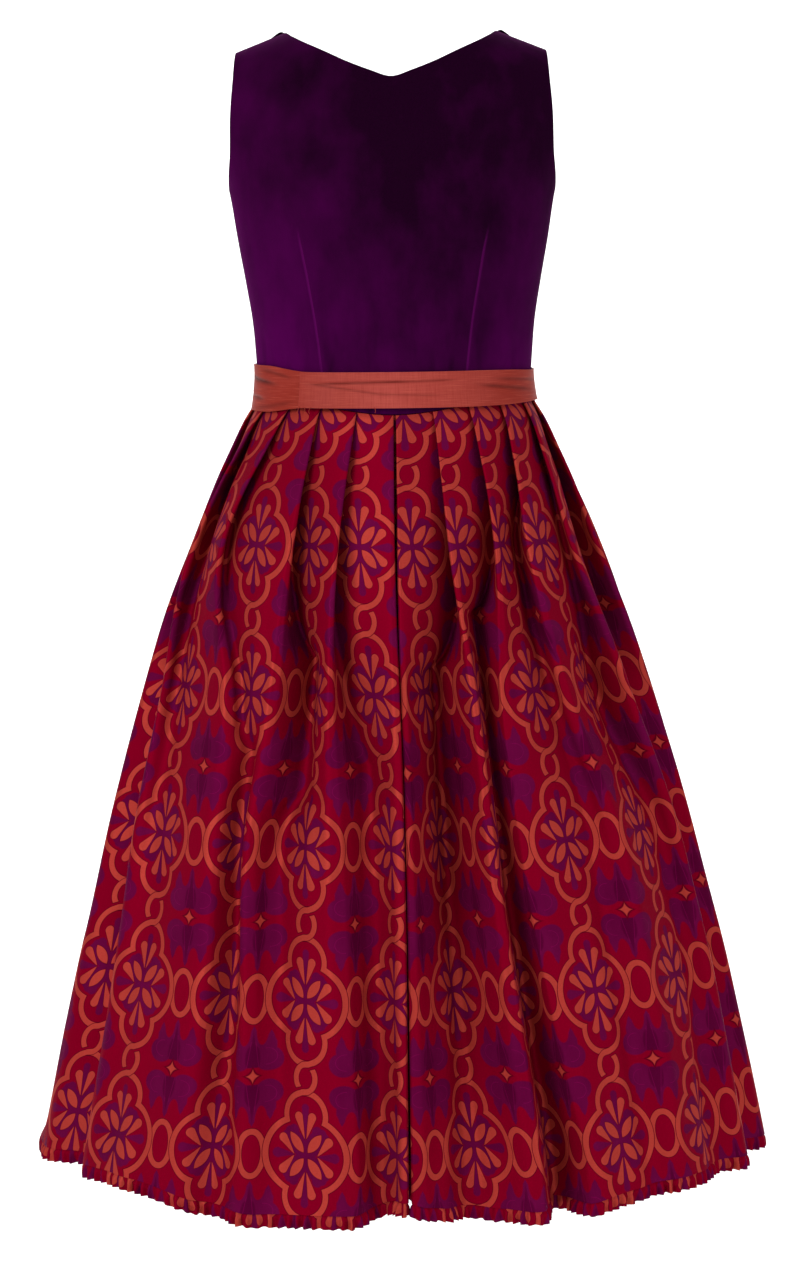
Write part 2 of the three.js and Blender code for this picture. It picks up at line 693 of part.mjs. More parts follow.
// The frill is one gathered strip that follows the hem all the way round.
function hemFrill() {
  const path = [];
  const halves = { left: 1, right: -1 };
  for (const [side, sign] of Object.entries(halves)) {
    const ring = skirtRing(SKIRT_HEM, sign);
    const { points } = halfSection(SKIRT_HEM, side, ring);
    const size = along(SKIRT_RINGS, 'halfWidth', SKIRT_HEM);
    const half = points.map(({ along: place, rise }) => {
      const middle = rise - SKIRT_WALL / 2;
      const { x, y } = ring.place(place, middle, SKIRT_HEM);
      const swell = along(SKIRT_RINGS, 'halfWidth', SKIRT_HEM - hemDip(x, y)) - size;
      return ring.place(place, middle + swell, SKIRT_HEM);
    });
    if (side === 'left') path.push(...half);
    else path.push(...half.slice(1, -1).reverse());
  }
  const loop = new THREE.CatmullRomCurve3(path, true, 'centripetal');
  loop.arcLengthDivisions = path.length * 12;
  const count = FRILL_WAVES * POINTS_PER_WAVE;
  const up = new THREE.Vector3(0, 0, 1);
  const edge = (below, swing, face) => {
    const row = [];
    for (let index = 0; index < count; index += 1) {
      const at = index / count;
      const outward = loop.getTangentAt(at).cross(up).negate();
      const wave = Math.cos((2 * Math.PI * index) / POINTS_PER_WAVE);
      const point = loop.getPointAt(at).addScaledVector(outward, swing * wave + face);
      point.z = SKIRT_HEM - hemDip(point.x, point.y) - below;
      row.push(point);
    }
    return row;
  };
  const grid = (face) => [
    edge(FRILL_GAP, FRILL_GATHER, face),
    edge(FRILL_GAP + FRILL_TALL, FRILL_FLARE, face),
  ];
  return wallGeometry(grid(FRILL_WALL / 2), grid(-FRILL_WALL / 2), true);
}

const CLOTHS = {
  velvet: { color: 0x340230, roughness: 0.85, metalness: 0 },
  sashSilk: { color: 0xb54a3a, roughness: 0.45, metalness: 0 },
  figuredSilk: { color: 0x8e1030, roughness: 0.5, metalness: 0 },
};

const materials = {};
for (const [name, look] of Object.entries(CLOTHS)) {
  materials[name] = new THREE.MeshStandardMaterial({ name, ...look });
}
const pieces = [
  ['bodice_back', backPanel(), 'velvet'],
  ['bodice_front_left', frontPanel(1), 'velvet'],
  ['bodice_front_right', frontPanel(-1), 'velvet'],
  ['waist_sash', sash(), 'sashSilk'],
  ['skirt_back', backOfSkirt(), 'figuredSilk'],
  ['skirt_front_left', frontOfSkirt('left'), 'figuredSilk'],
  ['skirt_front_right', frontOfSkirt('right'), 'figuredSilk'],
  ['hem_frill', hemFrill(), 'figuredSilk'],
];
const dirndl = new THREE.Group();
dirndl.name = 'dirndl';
for (const [name, geometry, cloth] of pieces) {
  const mesh = new THREE.Mesh(geometry, materials[cloth]);
  mesh.name = name;
  dirndl.add(mesh);
}

export default dirndl;
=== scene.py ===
# %% [markdown]
# # A dirndl seen from behind
# The dress is four kinds of cloth work: a fitted velvet bodice, a slub silk sash, a
# pleated skirt of figured silk and a gathered frill. Each is a thin wall of cloth, so
# each is made here as a surface of two parameters with a second surface just behind
# it. All lengths are worked out in millimetres and become metres in the mesh.

# %% Load the frame
import math

import bpy
import numpy as np
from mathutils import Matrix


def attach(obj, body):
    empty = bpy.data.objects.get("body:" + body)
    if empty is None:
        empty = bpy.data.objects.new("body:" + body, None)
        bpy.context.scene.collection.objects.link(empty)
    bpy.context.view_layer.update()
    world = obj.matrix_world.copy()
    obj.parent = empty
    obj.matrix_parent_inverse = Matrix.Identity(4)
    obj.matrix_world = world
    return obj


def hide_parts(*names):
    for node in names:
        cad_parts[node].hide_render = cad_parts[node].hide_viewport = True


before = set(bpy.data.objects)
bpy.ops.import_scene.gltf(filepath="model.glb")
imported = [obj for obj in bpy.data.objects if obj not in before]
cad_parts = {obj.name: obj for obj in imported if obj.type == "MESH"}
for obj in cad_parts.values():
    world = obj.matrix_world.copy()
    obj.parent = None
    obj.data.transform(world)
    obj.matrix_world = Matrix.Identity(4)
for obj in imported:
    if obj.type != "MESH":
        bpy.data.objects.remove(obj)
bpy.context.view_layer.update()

MM = 0.001
print("frame loaded:", ", ".join(sorted(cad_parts)))

# %% [markdown]
# ## Smooth tables
# A pattern cutter notes a few measures at known heights and draws a fair curve
# through them. The same is done here: short tables of measures, joined by cubic
# curves, so every height between two rows has its own smooth value.

# %% Curve through a table


def smooth(levels, values, at):
    """Cubic through (level, value) knots; the slope at a knot is that of the chord
    between its two neighbours, and beyond the ends the last value holds."""
    levels = np.asarray(levels, float)
    values = np.asarray(values, float)
    if levels[0] > levels[-1]:
        return smooth(-levels, values, -np.asarray(at, float))
    slope = np.empty_like(values)
    slope[1:-1] = (values[2:] - values[:-2]) / (levels[2:] - levels[:-2])
    slope[0] = (values[1] - values[0]) / (levels[1] - levels[0])
    slope[-1] = (values[-1] - values[-2]) / (levels[-1] - levels[-2])
    at = np.clip(at, levels[0], levels[-1])
    row = np.clip(np.searchsorted(levels, at, side="right") - 1, 0, len(levels) - 2)
    span = levels[row + 1] - levels[row]
    t = (at - levels[row]) / span
    return (
        (2 * t**3 - 3 * t**2 + 1) * values[row]
        + (t**3 - 2 * t**2 + t) * span * slope[row]
        + (3 * t**2 - 2 * t**3) * values[row + 1]
        + (t**3 - t**2) * span * slope[row + 1]
    )


def mix(low, high, share):
    """Straight blend: low at share 0, high at share 1."""
    return low + (high - low) * share


def fade(distance, width):
    """Soft bell: 1 at distance 0, falling as exp(-(distance / width) squared)."""
    return np.exp(-((distance / width) ** 2))


def ease(value, start, end):
    """0 before start, 1 after end, and a smooth S between them."""
    t = np.clip((value - start) / (end - start), 0, 1)
    return t * t * (3 - 2 * t)


# %% [markdown]
# ## From two grids to one piece of cloth
# Cloth has two faces and a cut edge. Blender's Solidify modifier can thicken a sheet,
# but it moves the outer face of tight folds. Here both faces are worked out from the
# same formula, so the folds stay clean, and narrow strips close the edges.

# %% Build one cloth wall
SHARP_EDGE = math.radians(48)


def add_object(name, data):
    """An object for a mesh, a camera or a light, put into the scene."""
    made = bpy.data.objects.new(name, data)
    bpy.context.scene.collection.objects.link(made)
    return made


def cloth_wall(name, outer, inner, weave, painted_light_marks=None, ring=False):
    """outer and inner are (rows, columns, 3) grids in mm, weave is the (rows,
    columns, 2) place on the flat cloth in mm, and the marks are a (rows, columns) mask
    of painted light: a painted sheen along the velvet's dart seams and painted shade in
    the sash's creases. A ring joins its last column to its first."""
    rows, columns = outer.shape[:2]
    spans = columns if ring else columns - 1
    row, column = np.meshgrid(np.arange(rows - 1), np.arange(spans), indexing="ij")
    beside = (column + 1) % columns
    corners = [(row, column), (row, beside), (row + 1, beside), (row + 1, column)]
    front = np.stack([r * columns + c for r, c in corners], -1).reshape(-1, 4)
    behind = front[:, ::-1] + rows * columns
    edge = np.arange(spans)
    after = (edge + 1) % columns
    back = rows * columns
    low = (rows - 1) * columns
    strips = [
        np.stack([after, edge, edge + back, after + back], -1),
        np.stack([low + edge, low + after, low + after + back, low + edge + back], -1),
    ]
    if not ring:
        at = np.arange(rows - 1) * columns
        under = at + columns
        last = columns - 1
        strips.append(np.stack([at, under, under + back, at + back], -1))
        strips.append(
            np.stack([under + last, at + last, at + last + back, under + last + back], -1)
        )
    faces = np.concatenate([front, behind, *strips])
    points = np.concatenate([outer.reshape(-1, 3), inner.reshape(-1, 3)]) * MM
    a, b, c, d = (points[faces[:, n]] for n in range(4))
    volume = (a * np.cross(b, c)).sum() + (a * np.cross(c, d)).sum()
    if volume < 0:
        faces = faces[:, ::-1]
    mesh = bpy.data.meshes.new(name)
    mesh.from_pydata(points.tolist(), [], faces.tolist())
    flat = np.concatenate([weave.reshape(-1, 2)] * 2)
    around = flat[faces.reshape(-1)].reshape(-1, 4, 2)
    if ring:
        period = flat[columns - 1, 0] - flat[0, 0]
        period += flat[1, 0] - flat[0, 0]
        wraps = np.ptp(around[:, :, 0], axis=1) > period / 2
        short = around[:, :, 0] < flat[0, 0] + period / 2
        around[:, :, 0] += np.where(wraps[:, None] & short, period, 0)
    layer = mesh.uv_layers.new(name="cloth")
    layer.data.foreach_set("uv", (around * MM).astype(np.float32).ravel())
    wrong_side = mesh.attributes.new("wrong_side", "FLOAT", "POINT")
    wrong_side.data.foreach_set("value", np.repeat([0.0, 1.0], rows * columns))
    # the marks are kept as the point attribute seam: the velvet paints a sheen from it
    # along the darts, the sash paints shade from it in the creases
    if painted_light_marks is not None:
        seam = mesh.attributes.new("seam", "FLOAT", "POINT")
        seam.data.foreach_set("value", np.tile(painted_light_marks.ravel(), 2))
    mesh.shade_smooth()
    mesh.set_sharp_from_angle(angle=SHARP_EDGE)
    print(name, "triangles:", 2 * len(faces))
    return add_object(name, mesh)


def unit(vectors):
    """Each vector divided by its own length."""
    return vectors / np.linalg.norm(vectors, axis=-1, keepdims=True)


# %% [markdown]
# ## Shader arithmetic
# A woven design is drawn by arithmetic: how far is this thread from the middle of the
# band, is it inside the leaf. Clicking hundreds of Math nodes by hand would be slow
# to read, so one small class lets Python's own signs add the nodes.

# %% A wire that does arithmetic


class Wire:
    """One value on its way through a material's nodes."""

    def __init__(self, tree, socket):
        self.tree = tree
        self.socket = socket

    def node(self, kind, settings, values, output=0):
        """Add a node: settings first, then each socket's value or link."""
        made = self.tree.nodes.new(kind)
        for name, value in settings.items():
            setattr(made, name, value)
        for name, value in values.items():
            if isinstance(value, Wire):
                self.tree.links.new(value.socket, made.inputs[name])
            else:
                made.inputs[name].default_value = value
        return Wire(self.tree, made.outputs[output])

    def math(self, operation, *values, clamp=False):
        settings = {"operation": operation, "use_clamp": clamp}
        return self.node("ShaderNodeMath", settings, dict(enumerate(values)))

    def __add__(self, other):
        return self.math("ADD", self, other)

    def __radd__(self, other):
        return self.math("ADD", other, self)

    def __sub__(self, other):
        return self.math("SUBTRACT", self, other)

    def __rsub__(self, other):
        return self.math("SUBTRACT", other, self)

    def __mul__(self, other):
        return self.math("MULTIPLY", self, other)

    def __rmul__(self, other):
        return self.math("MULTIPLY", other, self)

    def __truediv__(self, other):
        return self.math("DIVIDE", self, other)

    def __neg__(self):
        return self.math("MULTIPLY", self, -1)

    def __abs__(self):
        return self.math("ABSOLUTE", self)

    def most(self, other):
        return self.math("MAXIMUM", self, other)

    def least(self, other):
        return self.math("MINIMUM", self, other)

    def part(self):
        return self.math("FRACT", self)

    def wave(self):
        return self.math("SINE", self)

    def root(self):
        return self.math("SQRT", self)

    def clipped(self):
        return self.math("ADD", self, 0, clamp=True)


def inside(distance, soft=0.35):
    """1 where distance is below 0, 0 above it, with a soft edge of the given width."""
    return (0.5 - distance / soft).clipped()


def reach(x, y):
    """Length of (x, y)."""
    return (x * x + y * y).root()


def shade(red, green, blue):
    """A colour picked in 0 to 255 steps, made linear."""
    steps = np.array([red, green, blue]) / 255
    linear = np.where(steps <= 0.04045, steps / 12.92, ((steps + 0.055) / 1.055) ** 2.4)
    return (*linear.tolist(), 1.0)


def blend(mask, under, over):
    """Colour over laid on colour under where mask is 1."""
    settings = {"data_type": "RGBA"}
    return mask.node("ShaderNodeMix", settings, {0: mask, 6: under, 7: over}, output=2)


def new_finish(name, constants):
    """A material with its Principled shader's constant sockets set, and the place on
    the cloth as two wires in mm."""
    material = bpy.data.materials.new(name)
    material.use_nodes = True
    tree = material.node_tree
    shader = tree.nodes["Principled BSDF"]
    for socket, value in constants.items():
        shader.inputs[socket].default_value = value
    start = Wire(tree, None)
    place = start.node("ShaderNodeUVMap", {"uv_map": "cloth"}, {})
    split = place.node("ShaderNodeSeparateXYZ", {}, {0: place})
    across = split * 1000
    down = Wire(tree, split.socket.node.outputs[1]) * 1000
    return material, shader, across, down


def link(wire, shader, socket):
    """Feed one socket of the finish from a wire."""
    wire.tree.links.new(wire.socket, shader.inputs[socket])


def noise(wire, scale, detail=2.0, rough=0.5, stretch=(1, 1, 1)):
    """Cloudy values from 0 to 1, read on the piece's own object coordinates."""
    place = wire.node("ShaderNodeTexCoord", {}, {}, output=3)
    sized = wire.node("ShaderNodeMapping", {}, {"Vector": place, "Scale": stretch})
    return wire.node(
        "ShaderNodeTexNoise",
        {},
        {"Vector": sized, "Scale": scale, "Detail": detail, "Roughness": rough},
    )


def threads_of(place, pitch):
    """Threads as a wave from 0 to 1, one for each pitch in mm."""
    return (place * (2 * math.pi / pitch)).wave() * 0.5 + 0.5


def bump(height, strength, distance):
    """A Bump node over a height wire."""
    values = {"Strength": strength, "Distance": distance, "Height": height}
    return height.node("ShaderNodeBump", {}, values)


def attribute(wire, name):
    """A number stored on the mesh's points."""
    settings = {"attribute_name": name}
    return wire.node("ShaderNodeAttribute", settings, {}, output=2)


# %% [markdown]
# ## Velvet
# Velvet is a short dense pile on a plain backing. Its colour is deep where you look
# straight into the pile and lighter where the surface turns away or where the pile
# has been brushed aside. Sheen gives the first, slow noise in the colour the second.
# The colour also holds painted light: a painted sheen towards the sides, and painted
# light towards the waist and towards the wearer's left, the side of the key light.

# %% Velvet finish
# in mm: where the painted light and the pulls towards the waist start and are full, the
# reach of the painted sheen at the sides, and the span of the painted light across
TOWARDS_WAIST_FROM, TOWARDS_WAIST_FULL = 110, 330
SIDE_REACH = 125
PAINTED_LIGHT_ACROSS = 700
TWILL_PITCH = 0.9


def make_velvet():
    """Colour = dark to light by slow noise in the nap and less where the cloth is pulled,
    plus painted light: lighter towards the waist, the sides and the wearer's left. Dart
    seams get a painted sheen as paler lines, and the wrong side is a plain twill."""
    material, shader, across, down = new_finish(
        "aubergine_velvet",
        {
            "Specular IOR Level": 0.02,
            "Sheen Weight": 0.12,
            "Sheen Roughness": 0.4,
            "Sheen Tint": shade(200, 0, 190),
        },
    )
    brushed = noise(across, 7.0, 3.0, 0.55, (1, 1, 0.6))
    pile = noise(across, 900.0, 1.0, 0.5)
    stroke = noise(across, 60.0, 2.0, 0.6, (1, 1, 0.25))
    low = ((down - TOWARDS_WAIST_FROM) / (TOWARDS_WAIST_FULL - TOWARDS_WAIST_FROM)).clipped()
    side = (abs(across) / SIDE_REACH).clipped()
    pulls = noise(across, 55.0, 2.0, 0.5, (1, 1, 0.22))
    pulled = ((pulls - 0.5) * 3).clipped() * low * low * low
    mottle = noise(across, 26.0, 3.0, 0.6, (1, 1, 0.7))
    # painted light in the colour: lighter towards the waist, a painted sheen at the sides
    # and lighter towards the wearer's left; the brushed and mottled noise is the nap's own
    # tone
    nap_and_painted_light = (brushed - 0.5) * 0.8 + (mottle - 0.5) * 0.75 + low * 0.28
    nap_and_painted_light = nap_and_painted_light + across / PAINTED_LIGHT_ACROSS
    nap_and_painted_light = nap_and_painted_light + side * side * (low * 0.42 + 0.12) - pulled * 0.5 + 0.04
    body = blend(nap_and_painted_light.clipped(), shade(18, 0, 16), shade(72, 0, 67))
    body = blend(pile * 0.12, body, shade(80, 0, 74))
    # painted sheen: the dart seams are made paler along their line
    seam = attribute(across, "seam")
    body = blend(seam * 0.6, body, shade(112, 16, 104))
    back_face = attribute(across, "wrong_side")
    twill = threads_of(across + down, TWILL_PITCH)
    backing = blend(twill * 0.5, shade(48, 8, 44), shade(62, 14, 58))
    link(blend(back_face, body, backing), shader, "Base Color")
    link(0.78 + stroke * 0.18, shader, "Roughness")
    link(bump(pile * 0.6 + stroke * 0.8, 0.25, 0.0006), shader, "Normal")
    return material


velvet = make_velvet()
print("velvet nodes:", len(velvet.node_tree.nodes))

# %% [markdown]
# ## Slub silk
# The sash is a plain weave of uneven threads: fine upright warp lines, and thicker
# slubs in the weft that run on for a few centimetres and stop. Two noises stretched
# along the cloth, one each way, give both, in the colour and in the relief.

# %% Slub silk finish


def woven_noise(across, down, wide, tall, scale, detail=2.0):
    """Noise on the flat cloth, stretched to wide by tall millimetres."""
    flat = across.node("ShaderNodeCombineXYZ", {}, {0: across / wide, 1: down / tall})
    values = {"Vector": flat, "Scale": scale, "Detail": detail, "Roughness": 0.6}
    return across.node("ShaderNodeTexNoise", {"noise_dimensions": "2D"}, values)


SASH_MIDDLE = 95.0
PINK_REACH = 125


def make_slub_silk():
    """Colour = rust to pink by a cloud and by nearness to the middle of the back, with
    darker warp threads, lighter slubs and painted shade in the creases laid over it."""
    material, shader, across, down = new_finish(
        "terracotta_slub_silk",
        {
            "Specular IOR Level": 0.12,
            "Sheen Weight": 0.04,
            "Sheen Roughness": 0.35,
            "Sheen Tint": shade(235, 120, 100),
        },
    )
    warp = woven_noise(across, down, 1.1, 26, 1.0, 3.0)
    slub = woven_noise(across, down, 34, 0.8, 1.0, 3.0)
    cloud = woven_noise(across, down, 60, 22, 1.0, 2.0)
    pink = (1 - abs(across - SASH_MIDDLE) / PINK_REACH).clipped()
    base = blend(cloud * 0.35 + pink * 0.7, shade(134, 29, 12), shade(177, 73, 65))
    base = blend((warp * 2.4 - 0.9).clipped() * 0.5, base, shade(136, 36, 26))
    base = blend((slub * 3 - 1.6).clipped() * 0.5, base, shade(204, 96, 76))
    # painted shade: the silk is darker along the creases, read from the seam attribute
    painted_crease_shade = attribute(across, "seam")
    base = blend((painted_crease_shade * 0.5).clipped(), base, shade(92, 22, 16))
    link(base, shader, "Base Color")
    link(0.44 + slub * 0.16, shader, "Roughness")
    link(bump(warp * 0.7 + slub, 0.35, 0.0004), shader, "Normal")
    return material


slub_silk = make_slub_silk()
print("slub silk nodes:", len(slub_silk.node_tree.nodes))

# %% [markdown]
# ## Figured silk: layout of the design
# The skirt's cloth is a traditional woven trellis. One repeat holds a four-lobed
# medallion with a leafy rosette, a link that joins it to the next medallion above, a
# ring that joins it to its neighbour at the side, and a palmette cluster between four
# of them. The repeat is measured on the flat cloth, so the design turns with folds.

# %% Repeat of the design
REPEAT_WIDE = 112.0
REPEAT_TALL = 145.0


def repeat_place(across, down, wide, tall, shift):
    """Place inside one repeat, from its middle: x to the right and y upward."""
    x = ((across / wide + (0.5 + shift)).part() - 0.5) * wide
    y = ((down / tall + (0.5 + shift)).part() - 0.5) * (-tall)
    return x, y


def ellipse(x, y, half_wide, half_tall):
    """Distance to an ellipse's edge, near enough: (f - 1) f over the length of f's
    slope, with f the place measured in half axes."""
    f = reach(x / half_wide, y / half_tall)
    slope = reach(x / half_wide**2, y / half_tall**2)
    return (f - 1) * f / slope.most(0.0001)


def turned(x, y, degrees):
    """The same place read on axes turned by an angle."""
    c, s = math.cos(math.radians(degrees)), math.sin(math.radians(degrees))
    return x * c + y * s, y * c - x * s


def drop(x, y, start, end, half_wide, blunt):
    """Distance to a drop whose point is at y = start and whose round end is at
    y = end: its half width grows as the share of the way to the power blunt, and
    closes on a circle."""
    round_y = end - half_wide
    share = ((y - start) / (round_y - start)).clipped()
    side = abs(x) - share.math("POWER", share, blunt) * half_wide
    body = side.most(start - y).most(y - round_y)
    return body.least(reach(x, y - round_y) - half_wide)


# %% [markdown]
# ## Figured silk: the motifs
# Each motif is a distance in millimetres that is negative inside the shape: arcs of
# circles for the medallion's band, an ellipse for the ring, lenses and drops for the
# leaves. A band is the place where such a distance is near zero.

# %% Bands: medallion, link and ring
# half width of a band, its dark outline, then centres, radii and half axes in mm
BAND = 2.8
OUTLINE = 0.7
SIDE_LOBE = {"middle": 7.3, "radius": 34.5}
TOP_LOBE = {"middle": 37.5, "radius": 21.4}
LINK = (10.4, 12.4)
LINK_GAP = 3.2
RING = (12.4, 20.8)
CROSSING = 6.0


def bands(x, y):
    """Distances to the ring's band, to the band that tucks under and to the band that
    lies over it: the one on top leaves the medallion and turns into the link, and the
    other arm of the link stops short of it."""
    ax, ay = abs(x), abs(y)
    side = x * y.math("SIGN", y)
    lobes = reach(ax - SIDE_LOBE["middle"], ay) - SIDE_LOBE["radius"]
    top = reach(ax, ay - TOP_LOBE["middle"]) - TOP_LOBE["radius"]
    medallion = lobes.least(top)
    twist = ellipse(ax, ay - REPEAT_TALL / 2, *LINK)
    change = (side / (2 * CROSSING) + 0.5).clipped()
    over = medallion - (twist + medallion) * change
    arm = abs(twist).most(side).most(LINK_GAP + 2 * BAND - over)
    under = abs(medallion).most(-side).least(arm)
    side_ring = abs(ellipse(ax - REPEAT_WIDE / 2, y, *RING))
    return side_ring, under, abs(over)


# %% Leaves of the rosette


def rosette(x, y):
    """Distances to the orange leaves and to the purple ones behind them."""
    ax, ay = abs(x), abs(y)
    u, v = turned(ax, ay, 51)
    v = abs(v)
    lens = reach(u - 15.2, v + 11.4) - 16.2
    bud = ellipse(u - 15.0, v, 17.4, 9.2)
    knob = reach(u - 25.6, v - 4.6) - 5.6
    sx, sy = turned(ax - 0.9, ay - 15.5, -17)
    club_top = drop(sx, sy, 0, 26, 4.3, 0.9)
    px, py = turned(ay - 0.6, ax - 12.6, -49)
    club_side = drop(px, py, 0, 22.6, 4.4, 0.8)
    tear_top = drop(ax, ay, 12, 48.5, 3.9, 0.8)
    tear_side = drop(ay, ax, 10, 35, 4.7, 1.0)
    orange = lens.least(club_top).least(club_side)
    purple = bud.least(knob).least(tear_top).least(tear_side)
    return orange, purple


# %% Palmette cluster between four medallions


def palmettes(x, y):
    """Distances to the purple cluster, to its dark heart, to its thin light lines and
    to its star. The cluster is two side lobes and a crown, with arches cut from it."""
    ax, ay = abs(x), abs(y)
    lobe = ellipse(ax - 16.6, ay - 15.4, 14.0, 11.4)
    middle_tip = ax * 1.6 + ay - 47
    side_tip = abs(ax - 18.2) * 1.6 + ay - 42
    crown = (ax - 23.5).most(8 - ay).most(middle_tip.least(side_tip))
    arch = ellipse(ax - 9.4, ay - 43.5, 6.6, 15.0)
    outer_arch = ellipse(ax - 29.6, ay - 42.5, 9.4, 14.5)
    body = lobe.least(crown).most(-arch).most(-outer_arch)
    heart = ellipse(ax - 2.0, ay - 16, 5.4, 12.5).least(ax - (42 - ay) * 0.17)
    stem = abs(ax - 2.2 - (32 - ay) * 0.16).most(ay - 32).most(8 - ay)
    scroll = abs(ellipse(ax - 14.5, ay - 17.5, 9.4, 7.6)).most(13.5 - ax)
    lines = stem.least(scroll)
    star = ax.math("POWER", ax + 0.01, 0.6) + ay.math("POWER", ay + 0.01, 0.6) - 3.3
    return body, heart.most(body), lines.most(body + 0.4), star


# %% [markdown]
# ## Figured silk: threads and finish
# The ground is a satin of warp threads and shines softly; the orange is a weft that
# floats over it in short steps, so it is a little rougher and stands a hair higher.
# The wrong side shows the floats that the right side doesn't, dull and mixed.

# %% Figured silk finish
WEFT_PITCH, WARP_PITCH = 0.7, 0.55


def make_figured_silk(name, sheen):
    """Colour = the ground, then each motif laid over it where its distance is below
    0, then the bands with a dark outline; the wrong side shows the floats."""
    material, shader, across, down = new_finish(
        name,
        {
            "Specular IOR Level": 0.0,
            "Sheen Weight": sheen,
            "Sheen Roughness": 0.35,
            "Sheen Tint": shade(255, 30, 50),
        },
    )
    x, y = repeat_place(across, down, REPEAT_WIDE, REPEAT_TALL, 0.0)
    cx, cy = repeat_place(across, down, REPEAT_WIDE, REPEAT_TALL, 0.5)
    side_ring, frame_band, over_band = bands(x, y)
    orange_leaf, purple_leaf = rosette(x, y)
    cluster, heart, lines, star = palmettes(cx, cy)

    ground = shade(130, 0, 31)
    dark = shade(88, 0, 24)
    orange = shade(176, 60, 53)
    purple = shade(84, 3, 47)
    light_line = shade(124, 10, 74)

    fine = woven_noise(across, down, 3.0, 1.6, 1.0, 2.0)
    clouds = woven_noise(across, down, 40, 60, 1.0, 2.0)
    weft = threads_of(down, WEFT_PITCH)
    warp = threads_of(across, WARP_PITCH)

    cloth = blend(warp * 0.12 + clouds * 0.2, ground, shade(100, 0, 24))
    violet = blend(clouds, purple, shade(106, 10, 62))
    cloth = blend(inside(cluster, 1.4), cloth, violet)
    cloth = blend(inside(heart, 1.6) * 0.45, cloth, shade(58, 0, 28))
    cloth = blend(inside(lines - 0.15, 0.5), cloth, light_line)
    cloth = blend(inside(purple_leaf, 1.2), cloth, violet)
    thread = blend(weft * 0.22 + fine * 0.35, orange, shade(150, 42, 32))
    cloth = blend(inside(orange_leaf - 0.5), cloth, dark)
    cloth = blend(inside(orange_leaf), cloth, thread)
    for band in (side_ring, frame_band, over_band):
        cloth = blend(inside(band - (BAND + OUTLINE)), cloth, dark)
        cloth = blend(inside(band - BAND), cloth, thread)
    cloth = blend(inside(star - 1.0, 0.8), cloth, dark)
    cloth = blend(inside(star, 0.6), cloth, thread)

    figure = inside(orange_leaf.least(over_band - BAND).least(frame_band - BAND), 1.2)
    back_face = attribute(across, "wrong_side")
    floats = blend(figure, shade(120, 22, 40), shade(92, 8, 52))
    floats = blend(fine * 0.6, floats, shade(150, 50, 44))
    link(blend(back_face, cloth, floats), shader, "Base Color")
    link(0.46 - figure * 0.04 + fine * 0.08, shader, "Roughness")
    link((figure * 0.12 + 0.2) * (1 - back_face), shader, "Metallic")
    relief = figure * 1.2 + weft * figure * 0.5 + warp * (1 - figure) * 0.25 + fine * 0.4
    link(bump(relief, 0.3, 0.00035), shader, "Normal")
    return material


figured_silk = make_figured_silk("crimson_figured_silk", 0.06)
print("figured silk nodes:", len(figured_silk.node_tree.nodes))

# %% [markdown]
# ## The bodice
# On the real dress the bodice is a back and two fronts, cut to the figure and closed
# by darts. Each level of it is close to half an ellipse, so a point is given by an
# angle and a height, and the top rolls over the shoulder on a quarter circle. The
# armhole and the neckline are only the limits of the angle and of the height.

# %% Bodice measures
BODICE_WALL = 2.0
SEAM_GAP = 0.04
WAIST_GAP = 0.9
WAIST_SEAM = -359.2
SHOULDER_INNER = 104.5
SHOULDER_SLOPE = 0.39
SHOULDER_ROLL = 50.0
# half width and depths of the body at the heights RING_Z
RING_Z = [40, 0, -45, -90, -128, -156, -200, -242, -281, -321, -345, -375]
RING_HALF = [176, 178, 180, 179, 168, 160, 153, 145.6, 139.5, 136.2, 135, 136.6]
RING_BACK = [56, 66, 79, 91, 99, 103, 104, 101, 98, 96.5, 97, 100.8]
RING_FRONT = [52, 60, 72, 90, 112, 127, 134, 122, 108, 98, 97, 99]
# each panel has 11 lines from its middle to its side: their angles at the waist, and
# the points where they meet the top edge
WAIST_TURN = [0, 8, 16, 23, 30, 37, 45, 56, 68, 80, 90]
BACK_TOP_X = [0, 20, 43, 64, 84, 96, 104.5, 118, 131, 142, 152]
BACK_TOP_Z = [-45.5, -39.5, -30.5, -20.5, -11, -4.5, 0, -5.2, -10.3, -14.6, -18.5]
FRONT_TOP_X = [0, 22, 44, 63, 80, 94, 104.5, 118, 131, 142, 152]
FRONT_TOP_Z = [-112, -110, -101, -84, -56, -26, 0, -5.2, -10.3, -14.6, -18.5]
# angle of the panel's side edge at the heights ARMHOLE_Z, in degrees
ARMHOLE_Z = [-18.5, -52, -92, -112, -128, -142, -151, -156, -160]
ARMHOLE_BACK = [58.3, 59.1, 61.6, 65.5, 71, 78, 84.5, 90, 90]
ARMHOLE_FRONT = [58.3, 55.9, 57.5, 61.5, 67.5, 75.5, 83, 90, 90]
# share of the way from the top edge to the waist, row by row
FALLS = [0, 0.004, 0.016, 0.04, 0.09, 0.16, 0.24, 0.32, 0.404, 0.5, 0.61, 0.72]
FALLS += [0.82, 0.905, 0.955, 1]
EDGE_ROLL = 0.35
DART_COLUMN = 4
BACK_DART_TOP, FRONT_DART_TOP = -186, -213
DART_FADE = 34
# depth and half width of a dart's groove; height, distance and width of its ridges
GROOVE_DEEP, GROOVE_WIDE = 1.5, 1.3
RIDGE_HIGH, RIDGE_OFF, RIDGE_WIDE = 0.5, 4.5, 3.0
WAIST_DIP, WAIST_DIP_HALF = 10.3, 104


